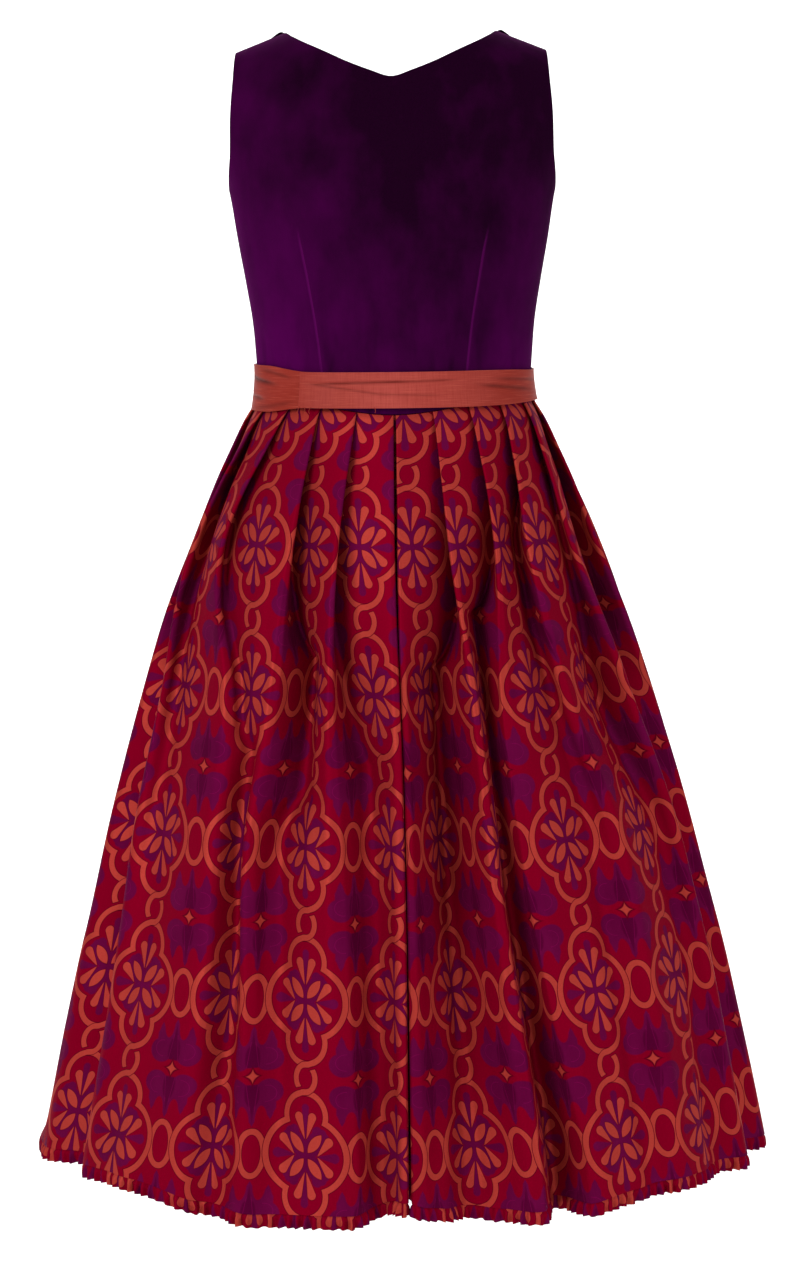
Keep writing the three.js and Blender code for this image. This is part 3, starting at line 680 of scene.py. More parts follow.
def bodice_surface(angle, z, facing):
    """x is the half width times sin(angle); y is the depth times cos(angle) times the
    shoulder's roll, a quarter circle that starts at the shoulder line."""
    depth = smooth(RING_Z, RING_BACK if facing > 0 else RING_FRONT, z)
    x = smooth(RING_Z, RING_HALF, z) * np.sin(angle)
    below = np.maximum((SHOULDER_INNER - np.abs(x)) * SHOULDER_SLOPE - z, 0)
    rest = np.maximum(1 - below / SHOULDER_ROLL, 0)
    y = depth * np.cos(angle) * np.sqrt(1 - rest**2) + SEAM_GAP / 2
    return np.stack([x, y * facing, z], -1)


def bodice_outward(angle, z, facing):
    """Square to the surface: the cross product of its two slopes."""
    across = bodice_surface(angle + 0.01, z, facing)
    across -= bodice_surface(angle - 0.01, z, facing)
    upward = bodice_surface(angle, z + 0.5, facing) - bodice_surface(angle, z - 0.5, facing)
    return unit(np.cross(across, upward)) * -facing


def waist_seam(x, facing):
    """Level in front, dipping by a squared cosine at the middle of the back."""
    share = np.minimum(np.abs(x) / WAIST_DIP_HALF, 1)
    dip = WAIST_DIP if facing > 0 else 0
    return WAIST_SEAM - dip * np.cos(share * np.pi / 2) ** 2


# %% Creases of worn velvet
VELVET_CREASES = [
    # x, z of the middle, lean in degrees, half length, half width, depth in mm
    (104, -322, 38, 20, 3.0, 1.6),
    (97, -326, 34, 15, 2.6, -1.0),
    (58, -316, 48, 16, 3.0, 1.1),
    (52, -322, 52, 12, 2.8, -0.8),
    (6, -322, 70, 26, 8.0, 1.1),
    (-22, -318, 82, 24, 7.0, -0.8),
    (-52, -326, -60, 12, 3.4, 0.8),
    (-112, -318, -34, 17, 3.4, 1.0),
    (128, -300, 24, 22, 6.0, 0.8),
    (-126, -290, -20, 24, 7.0, 0.7),
    (30, -150, 12, 50, 16.0, 0.8),
    (-40, -130, -10, 52, 18.0, 0.7),
    (-96, -210, -58, 34, 10.0, 0.8),
    (112, -220, 60, 34, 9.0, 0.8),
]
FRONT_CREASES = [
    (100, -316, 40, 20, 3.4, 1.3),
    (-98, -320, -38, 18, 3.2, 1.2),
    (64, -322, 55, 14, 3.0, 0.9),
    (-60, -318, -52, 15, 3.0, 1.0),
    (118, -170, -35, 30, 8.0, 0.9),
    (-118, -168, 35, 30, 8.0, 0.9),
    (24, -306, 76, 22, 7.0, 0.8),
    (-26, -310, -78, 20, 7.0, 0.7),
]


def crease_depth(x, z, creases):
    """Sum of soft troughs: each a bell across its own line and along it."""
    depth = np.zeros_like(x)
    for middle_x, middle_z, lean, length, width, deep in creases:
        c, s = math.cos(math.radians(lean)), math.sin(math.radians(lean))
        run = (x - middle_x) * s + (z - middle_z) * c
        side = (x - middle_x) * c - (z - middle_z) * s
        depth += deep * fade(side, width) * fade(run, length)
    return depth


# %% One bodice panel


def bodice_panel(name, facing, first, last, columns):
    """Columns run from table place first to last, negative on the wearer's right;
    every column leaves the top edge and falls to the waist seam."""
    index = np.linspace(first, last, columns)
    place = np.abs(index)
    knots = np.arange(-1, 11)
    top_x, top_z = (
        (BACK_TOP_X, BACK_TOP_Z) if facing > 0 else (FRONT_TOP_X, FRONT_TOP_Z)
    )
    x = smooth(knots, [-top_x[1], *top_x], place)
    z = smooth(knots, [top_z[1], *top_z], place)
    waist = np.radians(smooth(knots, [-8, *WAIST_TURN], place))
    low_x = smooth(RING_Z, RING_HALF, WAIST_SEAM) * np.sin(waist)
    low = waist_seam(low_x, facing) + WAIST_GAP
    armhole = ARMHOLE_BACK if facing > 0 else ARMHOLE_FRONT

    def side_edge(height):
        return np.radians(smooth(ARMHOLE_Z, armhole, height))

    share = np.arcsin(x / smooth(RING_Z, RING_HALF, z)) / side_edge(z)
    rows = np.linspace(0, len(FALLS) - 1, 96)
    fall = smooth(np.arange(len(FALLS)), FALLS, rows)[:, None]
    height = mix(z[None], low[None], fall)
    angle = side_edge(height) * mix(share[None], waist[None] / (np.pi / 2), fall)
    angle = angle * np.sign(index)[None]
    outer = bodice_surface(angle, height, facing)
    outward = bodice_outward(angle, height, facing)
    dart_top = BACK_DART_TOP if facing > 0 else FRONT_DART_TOP
    x_here = outer[..., 0]
    one_side = index >= 0 if last > 0 else index <= 0
    order = np.argsort(place[one_side])
    run = place[one_side][order]
    reach_x = np.abs(x_here)[:, one_side][:, order]
    dart = np.array([np.interp(DART_COLUMN, run, row) for row in reach_x])
    off_dart = np.abs(x_here) - dart[:, None]
    on = ease(-height, -dart_top, -dart_top + DART_FADE)
    ridges = RIDGE_HIGH * fade(np.abs(off_dart) - RIDGE_OFF, RIDGE_WIDE)
    groove = on * (GROOVE_DEEP * fade(off_dart, GROOVE_WIDE) - ridges)
    creases = VELVET_CREASES if facing > 0 else FRONT_CREASES
    depth = groove + crease_depth(x_here, height, creases)
    edge = 1 - ease(fall * 300, 0, 5)
    outer = outer - outward * (depth + EDGE_ROLL * edge)[..., None]
    inner = bodice_surface(angle, height, facing) - outward * (
        BODICE_WALL + depth - EDGE_ROLL * edge
    )[..., None]
    at_side = (np.abs(index) > 9.99)[None] & (np.degrees(np.abs(angle)) > 89)
    for grid in (outer, inner):
        grid[..., 1] = facing * np.maximum(grid[..., 1] * facing, SEAM_GAP / 2)
        grid[..., 1] = np.where(at_side, facing * SEAM_GAP / 2, grid[..., 1])
        if first >= 0 or last <= 0:
            side = 1 if first >= 0 else -1
            grid[..., 0] = side * np.maximum(grid[..., 0] * side, SEAM_GAP / 2)
    steps = np.linalg.norm(np.diff(outer, axis=1), axis=-1)
    across = np.concatenate([np.zeros((len(rows), 1)), np.cumsum(steps, axis=1)], 1)
    across -= across[:, [columns // 2]]
    weave = np.stack([across, -height], -1)
    # the dart line, where the velvet's colour gets a painted sheen
    painted_light_marks = on * fade(off_dart, 0.9)
    piece = cloth_wall(name, outer, inner, weave, painted_light_marks)
    piece.data.materials.append(velvet)
    print(name, "area of the wall, sq m:", round(cloth_area(outer), 4))
    return piece


def cloth_area(grid):
    """Area of a grid in square metres: half the cross product of each cell's
    diagonals, summed."""
    one = grid[1:, 1:] - grid[:-1, :-1]
    two = grid[1:, :-1] - grid[:-1, 1:]
    return float(np.linalg.norm(np.cross(one, two), axis=-1).sum() / 2 * MM * MM)


back = bodice_panel("velvet_back", 1, -10, 10, 201)
front_left = bodice_panel("velvet_front_left", -1, 0, 10, 101)
front_right = bodice_panel("velvet_front_right", -1, -10, 0, 101)

# %% [markdown]
# ## The sash
# One strip of slub silk goes once round the waist. Its outer end is laid over the
# inner one at the left of the back, and pulls shallow creases towards the side. It
# follows the bodice's ellipse, stands clear of the pleats below, and its folded
# edges are a little thicker than its middle.

# %% Sash measures and creases
SASH_WALL = 1.4
SASH_TOP = -328.0
SASH_BOTTOM = -362.4
SASH_OUTER_END, SASH_INNER_END = 41, -329
LAP_REACH, LAP_STEP, LAP_LIFT = 12, 16, 2.2
LIFT_TOP, LIFT_FOOT = 1.9, 5.3
# turns between which the band grows wider, where it narrows again, and by how much
SASH_WIDENS, SASH_NARROWS, WIDER = (-324, -296), (-268, -225), 5.2
TUCK_TURN, TUCK_HALF, NARROWER = -84, 26, 2.4
SASH_COLUMNS = 460
SASH_CREASES = [
    # turn and depth down the band at both ends, half height in mm, depth in mm
    (56, 0.40, 100, 0.22, 1.5, 2.2),
    (50, 0.56, 96, 0.66, 2.2, -1.2),
    (66, 0.74, 98, 0.60, 1.6, 1.8),
    (44, 0.82, 76, 0.94, 1.6, 1.0),
    (46, 0.20, 70, 0.10, 1.4, 1.2),
    (-4, 0.26, 34, 0.33, 1.2, 1.4),
    (-26, 0.24, 4, 0.28, 1.0, 1.2),
    (4, 0.62, 38, 0.30, 1.0, 1.0),
    (-20, 0.66, 10, 0.60, 1.1, 0.8),
    (-74, 0.62, -36, 0.40, 1.8, 1.5),
    (-88, 0.34, -44, 0.24, 1.5, 1.2),
    (-84, 0.78, -50, 0.66, 1.8, -1.0),
    (-150, 0.30, -100, 0.42, 2.0, 1.1),
    (-196, 0.66, -140, 0.56, 2.2, 1.0),
    (-230, 0.28, -178, 0.34, 1.8, 1.1),
    (-262, 0.60, -216, 0.70, 2.2, 1.0),
]


def sash_creases(turn, down):
    """Depth of the creases: each is a bell across its own line, eased at both ends."""
    here = np.where(turn < -180, turn + 360, turn)
    tall = SASH_TOP - SASH_BOTTOM
    depth = 0 * turn * down
    for start, high, end, low, width, deep in SASH_CREASES:
        run = (here - start) / (end - start)
        line = mix(high, low, np.clip(run, 0, 1))
        ends = ease(run, -0.1, 0.25) * (1 - ease(run, 0.75, 1.1))
        hidden = (start > 38) & (turn > -270)
        depth += np.where(hidden, 0, deep * ends * fade((down - line) * tall, width))
    return depth


def sash_lift(turn, down):
    """Distance of the middle of the strip from the bodice: more at the foot, over
    the pleats, more where it lies over its own end, less in each crease."""
    past = np.maximum(SASH_OUTER_END - LAP_REACH - turn, 0)
    lap = 0.5 + 0.5 * np.cos(np.pi * np.minimum(past / LAP_STEP, 1))
    flat = mix(LIFT_TOP, LIFT_FOOT, down) + LAP_LIFT * lap
    return flat - 0.8 * sash_creases(turn, down)


# %% Sash and its loose threads


def make_sash():
    """Rows down the band, columns round the waist from the outer end to the inner."""
    down = np.linspace(0, 1, 30)[:, None]
    turn = np.linspace(SASH_OUTER_END, SASH_INNER_END, SASH_COLUMNS)[None]
    angle = np.radians(turn)
    z = mix(SASH_TOP, SASH_BOTTOM, down) + 0 * turn
    flare = ease(turn, *SASH_WIDENS) * (1 - ease(turn, *SASH_NARROWS))
    tuck = fade(turn - TUCK_TURN, TUCK_HALF)
    z = z + (1 - 2 * down) * (WIDER * flare - NARROWER * tuck)
    half = smooth(RING_Z, RING_HALF, z)
    depth = np.where(
        np.cos(angle) > 0, smooth(RING_Z, RING_BACK, z), smooth(RING_Z, RING_FRONT, z)
    )
    normal = unit(
        np.stack([np.sin(angle) / half, np.cos(angle) / depth, 0 * half], -1)
    )
    base = np.stack([half * np.sin(angle), depth * np.cos(angle), z], -1)
    lift = sash_lift(turn, down)
    tall = SASH_TOP - SASH_BOTTOM
    fold = 0.25 * (fade(down * tall, 2.2) + fade((1 - down) * tall, 2.2))
    wall = SASH_WALL / 2 + fold
    outer = base + normal * (lift + wall)[..., None]
    inner = base + normal * (lift - SASH_WALL / 2)[..., None]
    steps = np.linalg.norm(np.diff(outer[15], axis=0), axis=-1)
    across = np.concatenate([[0], np.cumsum(steps)])
    weave = np.stack([across[None] + 0 * z, -z], -1)
    # the creases' depth, which also paints shade into the silk's colour
    painted_light_marks = np.maximum(sash_creases(turn, down), 0)
    piece = cloth_wall("silk_sash", outer, inner, weave, painted_light_marks)
    piece.data.materials.append(slub_silk)
    print("sash length in mm:", round(float(across[-1])))
    return piece, outer


def thread_tube(line, radius, sides=6):
    """Ring of points square to a line at every step: centre plus radius times the
    cosine and sine on two axes across it."""
    ahead = unit(np.gradient(line, axis=0))
    level = unit(np.cross(ahead, [0.31, 0.22, 0.93]))
    other = np.cross(ahead, level)
    turn = np.linspace(0, 2 * np.pi, sides, endpoint=False)
    ring = (
        level[:, None] * np.cos(turn)[None, :, None]
        + other[:, None] * np.sin(turn)[None, :, None]
    )
    return line[:, None] + ring * radius


def tubes_mesh(name, lines, radius, material, sides=6):
    """Many short round threads in one mesh, each closed by a fan at both ends."""
    points, faces = [], []
    for line in lines:
        start = sum(len(p) for p in points)
        tube = thread_tube(line, radius, sides)
        steps = len(line)
        ring, side = np.meshgrid(np.arange(steps - 1), np.arange(sides), indexing="ij")
        after = (side + 1) % sides
        quads = [ring * sides + side, ring * sides + after]
        quads += [(ring + 1) * sides + after, (ring + 1) * sides + side]
        faces += (np.stack(quads, -1).reshape(-1, 4) + start).tolist()
        faces.append((np.arange(sides)[::-1] + start).tolist())
        faces.append((np.arange(sides) + start + (steps - 1) * sides).tolist())
        points.append(tube.reshape(-1, 3))
    mesh = bpy.data.meshes.new(name)
    mesh.from_pydata((np.concatenate(points) * MM).tolist(), [], faces)
    mesh.shade_smooth()
    mesh.materials.append(material)
    print(name, "threads:", len(lines))
    return add_object(name, mesh)


def hanging_thread(turn, length, lean):
    """Thread from the foot of the band: it falls in a slight curve."""
    t = np.linspace(0, 1, 12)
    share = (SASH_OUTER_END - turn) / (SASH_OUTER_END - SASH_INNER_END)
    column = round(share * (SASH_COLUMNS - 1))
    start = sash_face[-1, column]
    along = unit(sash_face[-1, column - 1] - start)
    out = unit(np.array([start[0], start[1], 0]))
    curl = np.sin(t * 2.6) * lean
    line = start + along * (curl * length)[:, None] + out * (0.25 + 0.4 * t)[:, None]
    line[:, 2] += 1.0 - (length + 1.0) * t
    return line


sash, sash_face = make_sash()
THREAD_RADIUS = 0.28
# turn in degrees, length in mm, lean
THREADS = [(40.2, 6.5, 0.25), (38.0, 4.0, -0.3), (34.5, 5.5, 0.35), (8.0, 4.5, -0.25)]
lines = [hanging_thread(*row) for row in THREADS]
sash_threads = tubes_mesh("sash_threads", lines, THREAD_RADIUS, slub_silk)

# %% [markdown]
# ## The skirt: one pleat
# A knife pleat is a strip of cloth that runs level, folds under, returns, and folds
# again. Its section is drawn as a walk: go so far, turn evenly through a bend, go
# back, turn again. The returning length is found by halving, so that each pleat is
# exactly as wide as its place at the waist and still holds its full cloth.

# %% Walk along the cloth


def swing(length, start, end, share):
    """Where a bend takes you: its chord is the length times sin(half turn) over the
    half turn, at the mean heading. A straight run is a bend of no turn."""
    turn = (end - start) * share
    chord = length * share * np.sinc(turn / 2 / np.pi)
    middle = start + turn / 2
    return chord * np.cos(middle), chord * np.sin(middle)


def pleat_parts(cloth, riser, bend, turn):
    """Length, first heading and last heading of each stretch of one pleat."""
    run = cloth - riser - 2 * bend
    none = 0 * turn
    return [
        (bend / 2, turn / 2, none),
        (run / 2, none, none),
        (run / 2, none, none),
        (bend / 2, none, turn / 2),
        (bend / 2, turn / 2, turn),
        (riser, turn, turn),
        (bend / 2, turn, turn / 2),
    ]


def span_of(parts):
    """Straight line from the start of a walk to its end."""
    ends = [swing(*part, 1.0) for part in parts]
    return sum(e[0] for e in ends), sum(e[1] for e in ends)


def halving(low, high, is_low):
    """Find where a condition stops holding, by halving the interval 40 times."""
    low, high = low + 0.0, high + 0.0
    for _ in range(40):
        middle = (low + high) / 2
        below = is_low(middle)
        low = np.where(below, middle, low)
        high = np.where(below, high, middle)
    return (low + high) / 2


def solve_pleats(width, cloth, bend, turn):
    """Riser and turn that bring every pleat, in every row at once, to its width."""

    def width_of(riser, angle):
        return np.hypot(*span_of(pleat_parts(cloth, riser, bend, angle)))

    none = 0 * width
    longest = (cloth - 2 * bend) * 0.48
    open_fold = width_of(none, turn) < width
    eased = halving(none, turn, lambda angle: width_of(none, angle) > width)
    tight = (width_of(longest, turn) > width) & ~open_fold
    closed = halving(turn, none + np.pi, lambda angle: width_of(longest, angle) > width)
    turn = np.where(tight, closed, turn)
    riser = halving(none, longest, lambda value: width_of(value, turn) > width)
    return np.where(open_fold, 0, riser), np.where(open_fold, eased, turn)


def walk(parts, counts, start, tilt):
    """Points of a walk as arrays: place, rise, heading and cloth used so far. Each
    stretch gives its own number of points, and its last is the next one's first."""
    place, rise = start
    used = 0 * place
    out = [[], [], [], []]
    for (length, begin, end), count in zip(parts, counts):
        share = np.arange(count) / count
        begin, end = begin - tilt, end - tilt
        wide = [value[..., None] for value in (length, begin, end)]
        dx, dy = swing(*wide, share)
        out[0].append(place[..., None] + dx)
        out[1].append(rise[..., None] + dy)
        out[2].append(wide[1] + (wide[2] - wide[1]) * share)
        out[3].append(used[..., None] + wide[0] * share)
        dx, dy = swing(length, begin, end, 1.0)
        place, rise, used = place + dx, rise + dy, used + length
    out[0].append(place[..., None])
    out[1].append(rise[..., None])
    out[2].append((parts[-1][2] - tilt)[..., None])
    out[3].append(used[..., None])
    return [np.concatenate(values, -1) for values in out]


# %% [markdown]
# ## The skirt: measures
# The skirt is cut as three straight panels. At the waist its pleats are pressed flat
# and sharp; on the way down the bends open, until at the hem they are soft tubes. So
# every measure of a pleat has its own value at each height.

# %% Skirt measures
SKIRT_WALL = 0.9
SKIRT_HEM = -1105.0
# measures at the heights HEIGHTS: FOLD_TURN and POCKET_WALL in degrees, others in mm
HEIGHTS = [-355, -362.5, -367, -380, -405, -440, -490, -560, -628, -700, -770, -840]
HEIGHTS += [-912, -980, -1048, -1120]
SKIRT_HALF = [137, 138.6, 141.4, 149.4, 161.6, 178.6, 200, 227.2, 249.4, 271.2, 290.8]
SKIRT_HALF += [308.6, 327.2, 342.2, 356.8, 371]
FOLD_TURN = [180, 180, 179, 176, 170, 164, 155, 141, 126, 112, 100, 88, 78, 70, 63, 58]
FOLD_BEND = [3.2, 3.2, 3.2, 3.4, 4, 4.6, 7, 10, 14, 18, 21, 24, 26, 28, 30, 32]
POCKET_WALL = [173, 173, 172, 165, 152, 135, 120, 108, 104, 102, 100, 100, 100, 101]
POCKET_WALL += [102, 103]
POCKET_LIP = [1.5, 1.5, 1.5, 1.6, 1.7, 1.9, 2, 2.1, 2.2, 2.3, 2.4, 2.5, 2.7, 2.9, 3, 3.2]
POCKET_LEAN = [0, 0, 0, 0, 0, 0, 0, 1, 3, 5, 6, 6.7, 7, 7, 7, 7]
WAIST_HALF_WIDTH, HEM_HALF_WIDTH = 141.0, 371.0
WAIST_DEPTH, HEM_BACK, HEM_FRONT = 100.0, 281.0, 225.0
PLEATS = 10
PLEAT_CLOTH = 112.0
FRONT_PLEAT_CLOTH = 100.0
SEAM_PLEAT = 5
# a pleat as wide as the half ring over this number has bends of their full size
USUAL_PLEATS = 10.4
SHARPEST_BEND = 7.0
POCKET_BEND = 12
ROW_SHARES = [0, 0.013, 0.035, 0.075, 0.125, 0.19, 0.275, 0.375, 0.5, 0.64, 0.81, 1]
# at the heights EDGE_HEIGHTS: the free edge of each pleat in thousandths of the half
# ring, the cloth from the middle of the back to the start of pleats 2 to 5, the cloth
# in the inverted pleat, and that from pleat 2 to the axis of a column of medallions
EDGE_HEIGHTS = [-365, -490, -628, -770, -912, -1060]
WAIST_EDGES = [99, 198, 295, 391, 484, 574, 658, 737, 812, 884]
EDGES = {
    "left": [
        WAIST_EDGES,
        [105, 190, 345, 455, 532, 610, 687, 764, 842, 919],
        [97, 181, 255, 398, 488, 577, 667, 757, 846, 936],
        [80, 190, 240, 378, 473, 568, 662, 757, 852, 947],
        [64, 172, 228, 355, 455, 554, 654, 754, 853, 953],
        [50, 158, 232, 350, 452, 554, 656, 758, 860, 962],
    ],
    "right": [
        WAIST_EDGES,
        [96, 182, 248, 350, 445, 540, 634, 729, 824, 919],
        [110, 153, 250, 380, 473, 565, 658, 751, 843, 936],
        [114, 155, 285, 415, 504, 592, 681, 770, 858, 947],
        [124, 168, 290, 415, 505, 594, 684, 774, 863, 953],
        [135, 192, 296, 405, 498, 591, 684, 776, 869, 962],
    ],
}
EDGE_CLOTH = {
    "left": [
        [112, 224, 336, 448],
        [110, 214, 340, 446],
        [110, 225, 288, 401],
        [94, 205, 273, 386],
        [89, 193, 274, 387],
        [82, 190, 274, 388],
    ],
    "right": [
        [112, 224, 336, 448],
        [119, 234, 335, 430],
        [145, 228, 318, 454],
        [163, 241, 353, 470],
        [157, 248, 360, 477],
        [153, 269, 374, 486],
    ],
}
POCKET_CLOTH = [165, 157, 152, 147, 142, 130]
AXIS_PAST_EDGE = {"left": [38, 38, 31, 32, 38, 46], "right": [7, 9, 11, 16, 29, 42]}
# how far the hem dips below its level across the back, less than 0 where it rises
HEM_ACROSS = [-371, -330, -290, -250, -220, -195, -165, -135, -100, -60, -28, 0]
HEM_ACROSS += [25, 48, 80, 115, 170, 206, 285, 371]
HEM_DIP = [-6, -9, -12, -9, -3, 4, 6, 9, 7, 5, 3, -7, -1, 5, 9, 7, 6, 1, -4, 0]
# heights of the first and of the fifth medallion
MEDALLION_ROW = -493.0
ROW_BY_ROW = -1057.0
MEAN_GROWTH = 0.88

# %% [markdown]
# ## The skirt: troughs and ridges
# Worn silk is never as even as a drawing. A few soft troughs and ridges are placed one
# by one on the tubes, where the photograph shows them and in the same manner at the
# front. Each follows the cloth down. One that ends above the hem fades out at both
# ends, the others run out over the hem.

# %% Creases of the skirt
RUNS_OUT = -1100
SKIRT_CREASES = {
    "left": [
        # cloth from the lip at the top and at the foot, heights, half width, depth
        (40, 48, -430, -640, 9, 2.4),
        (30, 18, -700, -1100, 11, -3.2),
        (135, 120, -520, -860, 10, 2.8),
        (150, 168, -800, -1105, 14, -3.4),
        (238, 262, -470, -700, 9, 2.6),
        (246, 226, -760, -1105, 12, 3.0),
        (322, 345, -520, -900, 12, -2.8),
        (360, 338, -860, -1105, 13, 3.4),
        (440, 470, -470, -760, 11, 2.8),
        (452, 430, -800, -1105, 13, -3.0),
        (560, 540, -560, -1000, 12, 2.6),
        (655, 690, -520, -900, 12, -2.8),
        (760, 742, -640, -1105, 13, 3.0),
        (872, 850, -500, -860, 11, 2.6),
        (965, 990, -700, -1105, 14, -3.0),
        (1060, 1050, -520, -940, 13, 2.4),
    ],
    "right": [
        (52, 60, -440, -700, 10, 2.2),
        (100, 118, -640, -1105, 12, -3.0),
        (62, 40, -860, -1105, 10, 2.6),
        (168, 186, -500, -820, 10, 2.6),
        (214, 232, -740, -1105, 13, -3.2),
        (270, 252, -470, -700, 9, 2.4),
        (300, 326, -780, -1105, 12, 3.0),
        (378, 396, -500, -840, 11, -2.6),
        (430, 408, -820, -1105, 13, 3.2),
        (484, 510, -470, -800, 11, 2.8),
        (548, 530, -740, -1105, 13, -3.0),
        (640, 668, -560, -960, 12, 2.6),
        (738, 720, -600, -1105, 12, 3.0),
        (846, 870, -520, -900, 12, -2.6),
        (940, 925, -660, -1105, 13, 3.0),
        (1046, 1060, -560, -980, 13, 2.4),
    ],
}


def skirt_creases(side, cloth, z):
    """Sum of the side's troughs and ridges at each place of the cloth."""
    depth = np.zeros_like(cloth)
    for top_at, foot_at, top, foot, width, deep in SKIRT_CREASES[side]:
        run = (z - top) / (foot - top)
        line = mix(top_at, foot_at, np.clip(run, 0, 1))
        ends = ease(run, 0, 0.3)
        if foot > RUNS_OUT:
            ends = ends * (1 - ease(run, 0.8, 1.01))
        depth += deep * ends * fade(cloth - line, width)
    return depth


# %% Section of half the skirt


def half_section(side, level):
    """Place, rise, heading and cloth for every row, from the middle of the back to
    the middle of the front, and the column of the side seam."""

    def hang(values):
        return smooth(HEIGHTS, values, level)

    def at_edges(values):
        return smooth(EDGE_HEIGHTS, values, level)

    bend, lip = hang(FOLD_BEND), hang(POCKET_LIP)
    middle = hang(POCKET_LEAN) * (-1 if side == "left" else 1)
    turn, wall = np.radians(hang(FOLD_TURN)), np.radians(hang(POCKET_WALL))
    soft = np.minimum(bend, POCKET_BEND)
    half_pocket = at_edges(POCKET_CLOTH) / 2
    none = 0 * level
    turning = [(soft / 2, none, wall / 2), (soft / 2, wall / 2, wall)]
    last_turn = [(soft / 2, wall, wall / 2)]
    bends_x = span_of(turning + last_turn)[0]
    straight = half_pocket - soft * 1.5
    floor = (lip - bends_x - straight * np.cos(wall)) / (1 - np.cos(wall))
    floor = np.clip(floor, 2, half_pocket - soft * 1.6)
    side_wall = (straight - floor) / 2
    walls = [(side_wall, wall, wall)] * 2
    parts = [(floor, none, none), *turning, *walls, *last_turn]
    depth = span_of(parts)[1]
    pocket = walk(parts, [3, 4, 4, 4, 4, 4], (middle, -depth), none)
    pocket[3] = pocket[3] - half_pocket[:, None]
    rings = ring_lengths(level)
    edges = [middle + lip]
    edges += [at_edges(pleat) / 1000 * rings for pleat in zip(*EDGES[side])]
    edges = np.stack(edges, -1)
    starts = [0 * level]
    starts += [at_edges(pleat) for pleat in zip(*EDGE_CLOTH[side])]
    starts += [starts[4] + PLEAT_CLOTH + FRONT_PLEAT_CLOTH * n for n in range(6)]
    starts = np.stack(starts, -1)
    cloth = np.diff(starts, axis=1)
    widths = np.diff(edges, axis=1)
    usual = rings[:, None] / USUAL_PLEATS / PLEAT_CLOTH
    bends = bend[:, None] * np.minimum(widths / cloth / usual, 1) ** 1.5
    bends = np.maximum(bends, np.minimum(bend[:, None], SHARPEST_BEND))
    turns = np.repeat(turn[:, None], PLEATS, 1)
    riser, turns = solve_pleats(widths, cloth, bends, turns)
    parts = pleat_parts(cloth, riser, bends, turns)
    span = span_of(parts)
    counts = [4, 5, 5, 4, 4, 4, 4]
    start = (edges[:, :-1], 0 * cloth)
    pleats = walk(parts, counts, start, np.arctan2(span[1], span[0]))
    pleats[3] = pleats[3] + starts[:, :-1, None]
    fold = [(bend / 2, turn / 2, none)]
    dx, dy = span_of(fold)
    last = edges[:, -1]
    level_run = rings - last - dx
    strip = walk([*fold, (level_run, none, none)], [4, 9], (last, -dy), none)
    strip[3] = strip[3] + starts[:, -1:]
    rows = len(level)
    columns = []
    for begin, between, end in zip(pocket, pleats, strip):
        tubes = between[..., :-1].reshape(rows, -1)
        columns.append(np.concatenate([begin[:, :-1], tubes, end], 1))
    per_pleat = sum(counts)
    seam = pocket[0].shape[1] - 1 + (SEAM_PLEAT - 1) * per_pleat + sum(counts[:5])
    return columns, seam


# %% Level rings of the skirt


def ring_shape(level):
    """Half width, back depth and front depth of each level ring."""
    half = smooth(HEIGHTS, SKIRT_HALF, level)
    share = (half - WAIST_HALF_WIDTH) / (HEM_HALF_WIDTH - WAIST_HALF_WIDTH)
    return half, mix(WAIST_DEPTH, HEM_BACK, share), mix(WAIST_DEPTH, HEM_FRONT, share)


RING_ANGLES = np.linspace(0, np.pi, 361)


def ring_arc(level):
    """Length along each ring from the middle of the back to every angle."""
    half, back_deep, front_deep = (v[:, None] for v in ring_shape(level))
    deep = np.where(np.cos(RING_ANGLES) > 0, back_deep, front_deep)
    x, y = half * np.sin(RING_ANGLES), deep * np.cos(RING_ANGLES)
    steps = np.hypot(np.diff(x, axis=1), np.diff(y, axis=1))
    return np.concatenate([np.zeros((len(level), 1)), np.cumsum(steps, 1)], 1)


def ring_lengths(level):
    """Length of each half ring."""
    return ring_arc(level)[:, -1]


def on_ring(level, place, rise, sign, z):
    """Point at a distance along its ring, raised square to it, at height z."""
    arcs = ring_arc(level)
    inside_ring = np.clip(place, 0, arcs[:, -1:])
    angle = np.stack([np.interp(p, a, RING_ANGLES) for p, a in zip(inside_ring, arcs)])
    half, back_deep, front_deep = (v[:, None] for v in ring_shape(level))
    deep = np.where(np.cos(angle) > 0, back_deep, front_deep)
    out = unit(np.stack([np.sin(angle) / half, np.cos(angle) / deep], -1))
    beyond = place - inside_ring
    x = half * np.sin(angle) + out[..., 0] * rise + out[..., 1] * beyond
    y = deep * np.cos(angle) + out[..., 1] * rise
    return np.stack([x * sign, y, z + 0 * x], -1)


def slant(z):
    """Length of cloth from the waist to height z, measured down the skirt, whose mean
    ring grows a little less than its half width."""
    fine = np.linspace(-355, -1125, 400)
    grow = MEAN_GROWTH * np.gradient(smooth(HEIGHTS, SKIRT_HALF, fine), fine)
    run = np.concatenate([[0], np.cumsum(np.hypot(1, grow)[1:] * np.diff(-fine))])
    return np.interp(-z, -fine, run)


ROW_PITCH = (slant(ROW_BY_ROW) - slant(MEDALLION_ROW)) / 4
print("rows of medallions on the cloth, mm:", round(float(ROW_PITCH), 1))


def hem_dip(x, y):
    """How far the hem dips across the back; the dips end at the sides."""
    return smooth(HEM_ACROSS, HEM_DIP, -x) * ease(y, -40, 40)


# %% Both faces of half the skirt
ROWS = 128


